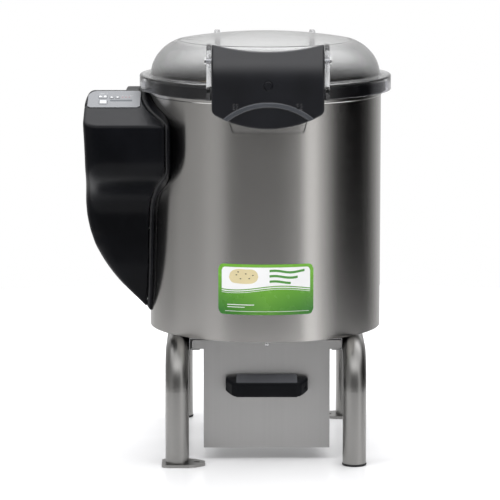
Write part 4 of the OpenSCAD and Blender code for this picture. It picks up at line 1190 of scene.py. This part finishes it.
def world():
    w = bpy.data.worlds.new("studio")
    SCENE.world = w
    w.use_nodes = True
    nt = w.node_tree
    nt.nodes.clear()

    def add(kind, **props):
        n = nt.nodes.new(kind)
        for k, v in props.items():
            setattr(n, k, v)
        return n

    out = add("ShaderNodeOutputWorld")
    bg = add("ShaderNodeBackground")
    nt.links.new(bg.outputs[0], out.inputs[0])
    tc = add("ShaderNodeTexCoord")
    sp = add("ShaderNodeSeparateXYZ")
    nt.links.new(tc.outputs["Generated"], sp.inputs[0])
    neg = add("ShaderNodeMath", operation="MULTIPLY")
    nt.links.new(sp.outputs[1], neg.inputs[0])
    neg.inputs[1].default_value = -1.0
    at2 = add("ShaderNodeMath", operation="ARCTAN2")
    nt.links.new(sp.outputs[0], at2.inputs[0])
    nt.links.new(neg.outputs[0], at2.inputs[1])
    mr = add("ShaderNodeMapRange")
    nt.links.new(at2.outputs[0], mr.inputs[0])
    mr.inputs[1].default_value, mr.inputs[2].default_value = -math.pi, math.pi
    ramp = add("ShaderNodeValToRGB")
    nt.links.new(mr.outputs[0], ramp.inputs[0])
    el = ramp.color_ramp.elements
    for i, (a, v) in enumerate(RAMP):
        pos = (a + 180) / 360
        if i == 0:
            el[0].position, el[0].color = 0.0, (v, v, v, 1)
        elif i == len(RAMP) - 1:
            el[len(el) - 1].position, el[len(el) - 1].color = 1.0, (v, v, v, 1)
        else:
            el.new(pos).color = (v, v, v, 1)
    up = add("ShaderNodeMapRange", interpolation_type="SMOOTHSTEP")
    # on the right it starts lower
    low = add("ShaderNodeMapRange", interpolation_type="SMOOTHSTEP")
    nt.links.new(sp.outputs[0], low.inputs[0])
    for i, v in zip((1, 2, 3, 4), (0.30, 0.70, 0.0, 0.06)):
        low.inputs[i].default_value = v
    lift = add("ShaderNodeMath", operation="ADD")
    nt.links.new(sp.outputs[2], lift.inputs[0])
    nt.links.new(low.outputs[0], lift.inputs[1])
    nt.links.new(lift.outputs[0], up.inputs[0])
    for i, v in zip((1, 2, 3, 4), (0.50, 0.80, 0.0, 1.0)):
        up.inputs[i].default_value = v
    mix = add("ShaderNodeMix", data_type="RGBA")
    nt.links.new(up.outputs[0], mix.inputs[0])
    ins = [i for i in mix.inputs if i.type == "RGBA"]
    nt.links.new(ramp.outputs[0], ins[0])
    # the ceiling is brighter towards the back
    rear = add("ShaderNodeMapRange", interpolation_type="SMOOTHSTEP")
    nt.links.new(sp.outputs[1], rear.inputs[0])
    for i, v in zip((1, 2, 3, 4), (0.1, 0.6, 0.0, 1.0)):
        rear.inputs[i].default_value = v
    ceil = add("ShaderNodeMix", data_type="RGBA")
    nt.links.new(rear.outputs[0], ceil.inputs[0])
    pair = [i for i in ceil.inputs if i.type == "RGBA"]
    # and brighter again in front
    fore = add("ShaderNodeMapRange", interpolation_type="SMOOTHSTEP")
    nt.links.new(sp.outputs[1], fore.inputs[0])
    for i, v in zip((1, 2, 3, 4), (-0.62, -0.25, 1.0, 0.0)):
        fore.inputs[i].default_value = v
    fr = add("ShaderNodeMix", data_type="RGBA")
    nt.links.new(fore.outputs[0], fr.inputs[0])
    duo = [i for i in fr.inputs if i.type == "RGBA"]
    duo[0].default_value = (1.15, 1.15, 1.16, 1)
    duo[1].default_value = (2.0, 2.0, 2.02, 1)
    nt.links.new([o for o in fr.outputs if o.type == "RGBA"][0], pair[0])
    side = add("ShaderNodeMapRange", interpolation_type="SMOOTHSTEP")
    nt.links.new(sp.outputs[0], side.inputs[0])
    for i, v in zip((1, 2, 3, 4), (-0.55, 0.55, 0.0, 1.0)):
        side.inputs[i].default_value = v
    lr = add("ShaderNodeMix", data_type="RGBA")
    nt.links.new(side.outputs[0], lr.inputs[0])
    both = [i for i in lr.inputs if i.type == "RGBA"]
    both[0].default_value = (1.9, 1.9, 1.95, 1)
    both[1].default_value = (2.7, 2.7, 2.75, 1)
    nt.links.new([o for o in lr.outputs if o.type == "RGBA"][0], pair[1])
    nt.links.new([o for o in ceil.outputs if o.type == "RGBA"][0], ins[1])
    lp = add("ShaderNodeLightPath")
    back = add("ShaderNodeMapRange", interpolation_type="SMOOTHSTEP")
    nt.links.new(sp.outputs[1], back.inputs[0])
    for i, v in zip((1, 2, 3, 4), (0.3, 0.6, 0.0, 1.0)):
        back.inputs[i].default_value = v
    seen = add("ShaderNodeMath", operation="MULTIPLY")
    nt.links.new(lp.outputs["Is Transmission Ray"], seen.inputs[0])
    nt.links.new(back.outputs[0], seen.inputs[1])
    mx = add("ShaderNodeMath", operation="MAXIMUM")
    nt.links.new(lp.outputs["Is Camera Ray"], mx.inputs[0])
    nt.links.new(seen.outputs[0], mx.inputs[1])
    mix2 = add("ShaderNodeMix", data_type="RGBA")
    nt.links.new(mx.outputs[0], mix2.inputs[0])
    ins2 = [i for i in mix2.inputs if i.type == "RGBA"]
    nt.links.new([o for o in mix.outputs if o.type == "RGBA"][0], ins2[0])
    ins2[1].default_value = (1.0, 1.0, 1.0, 1)
    nt.links.new([o for o in mix2.outputs if o.type == "RGBA"][0], bg.inputs[0])


world()
SCENE.view_settings.view_transform = "Standard"
SCENE.view_settings.look = "None"
SCENE.view_settings.exposure = 0.0
SCENE.view_settings.gamma = 1.0

bpy.context.view_layer.update()
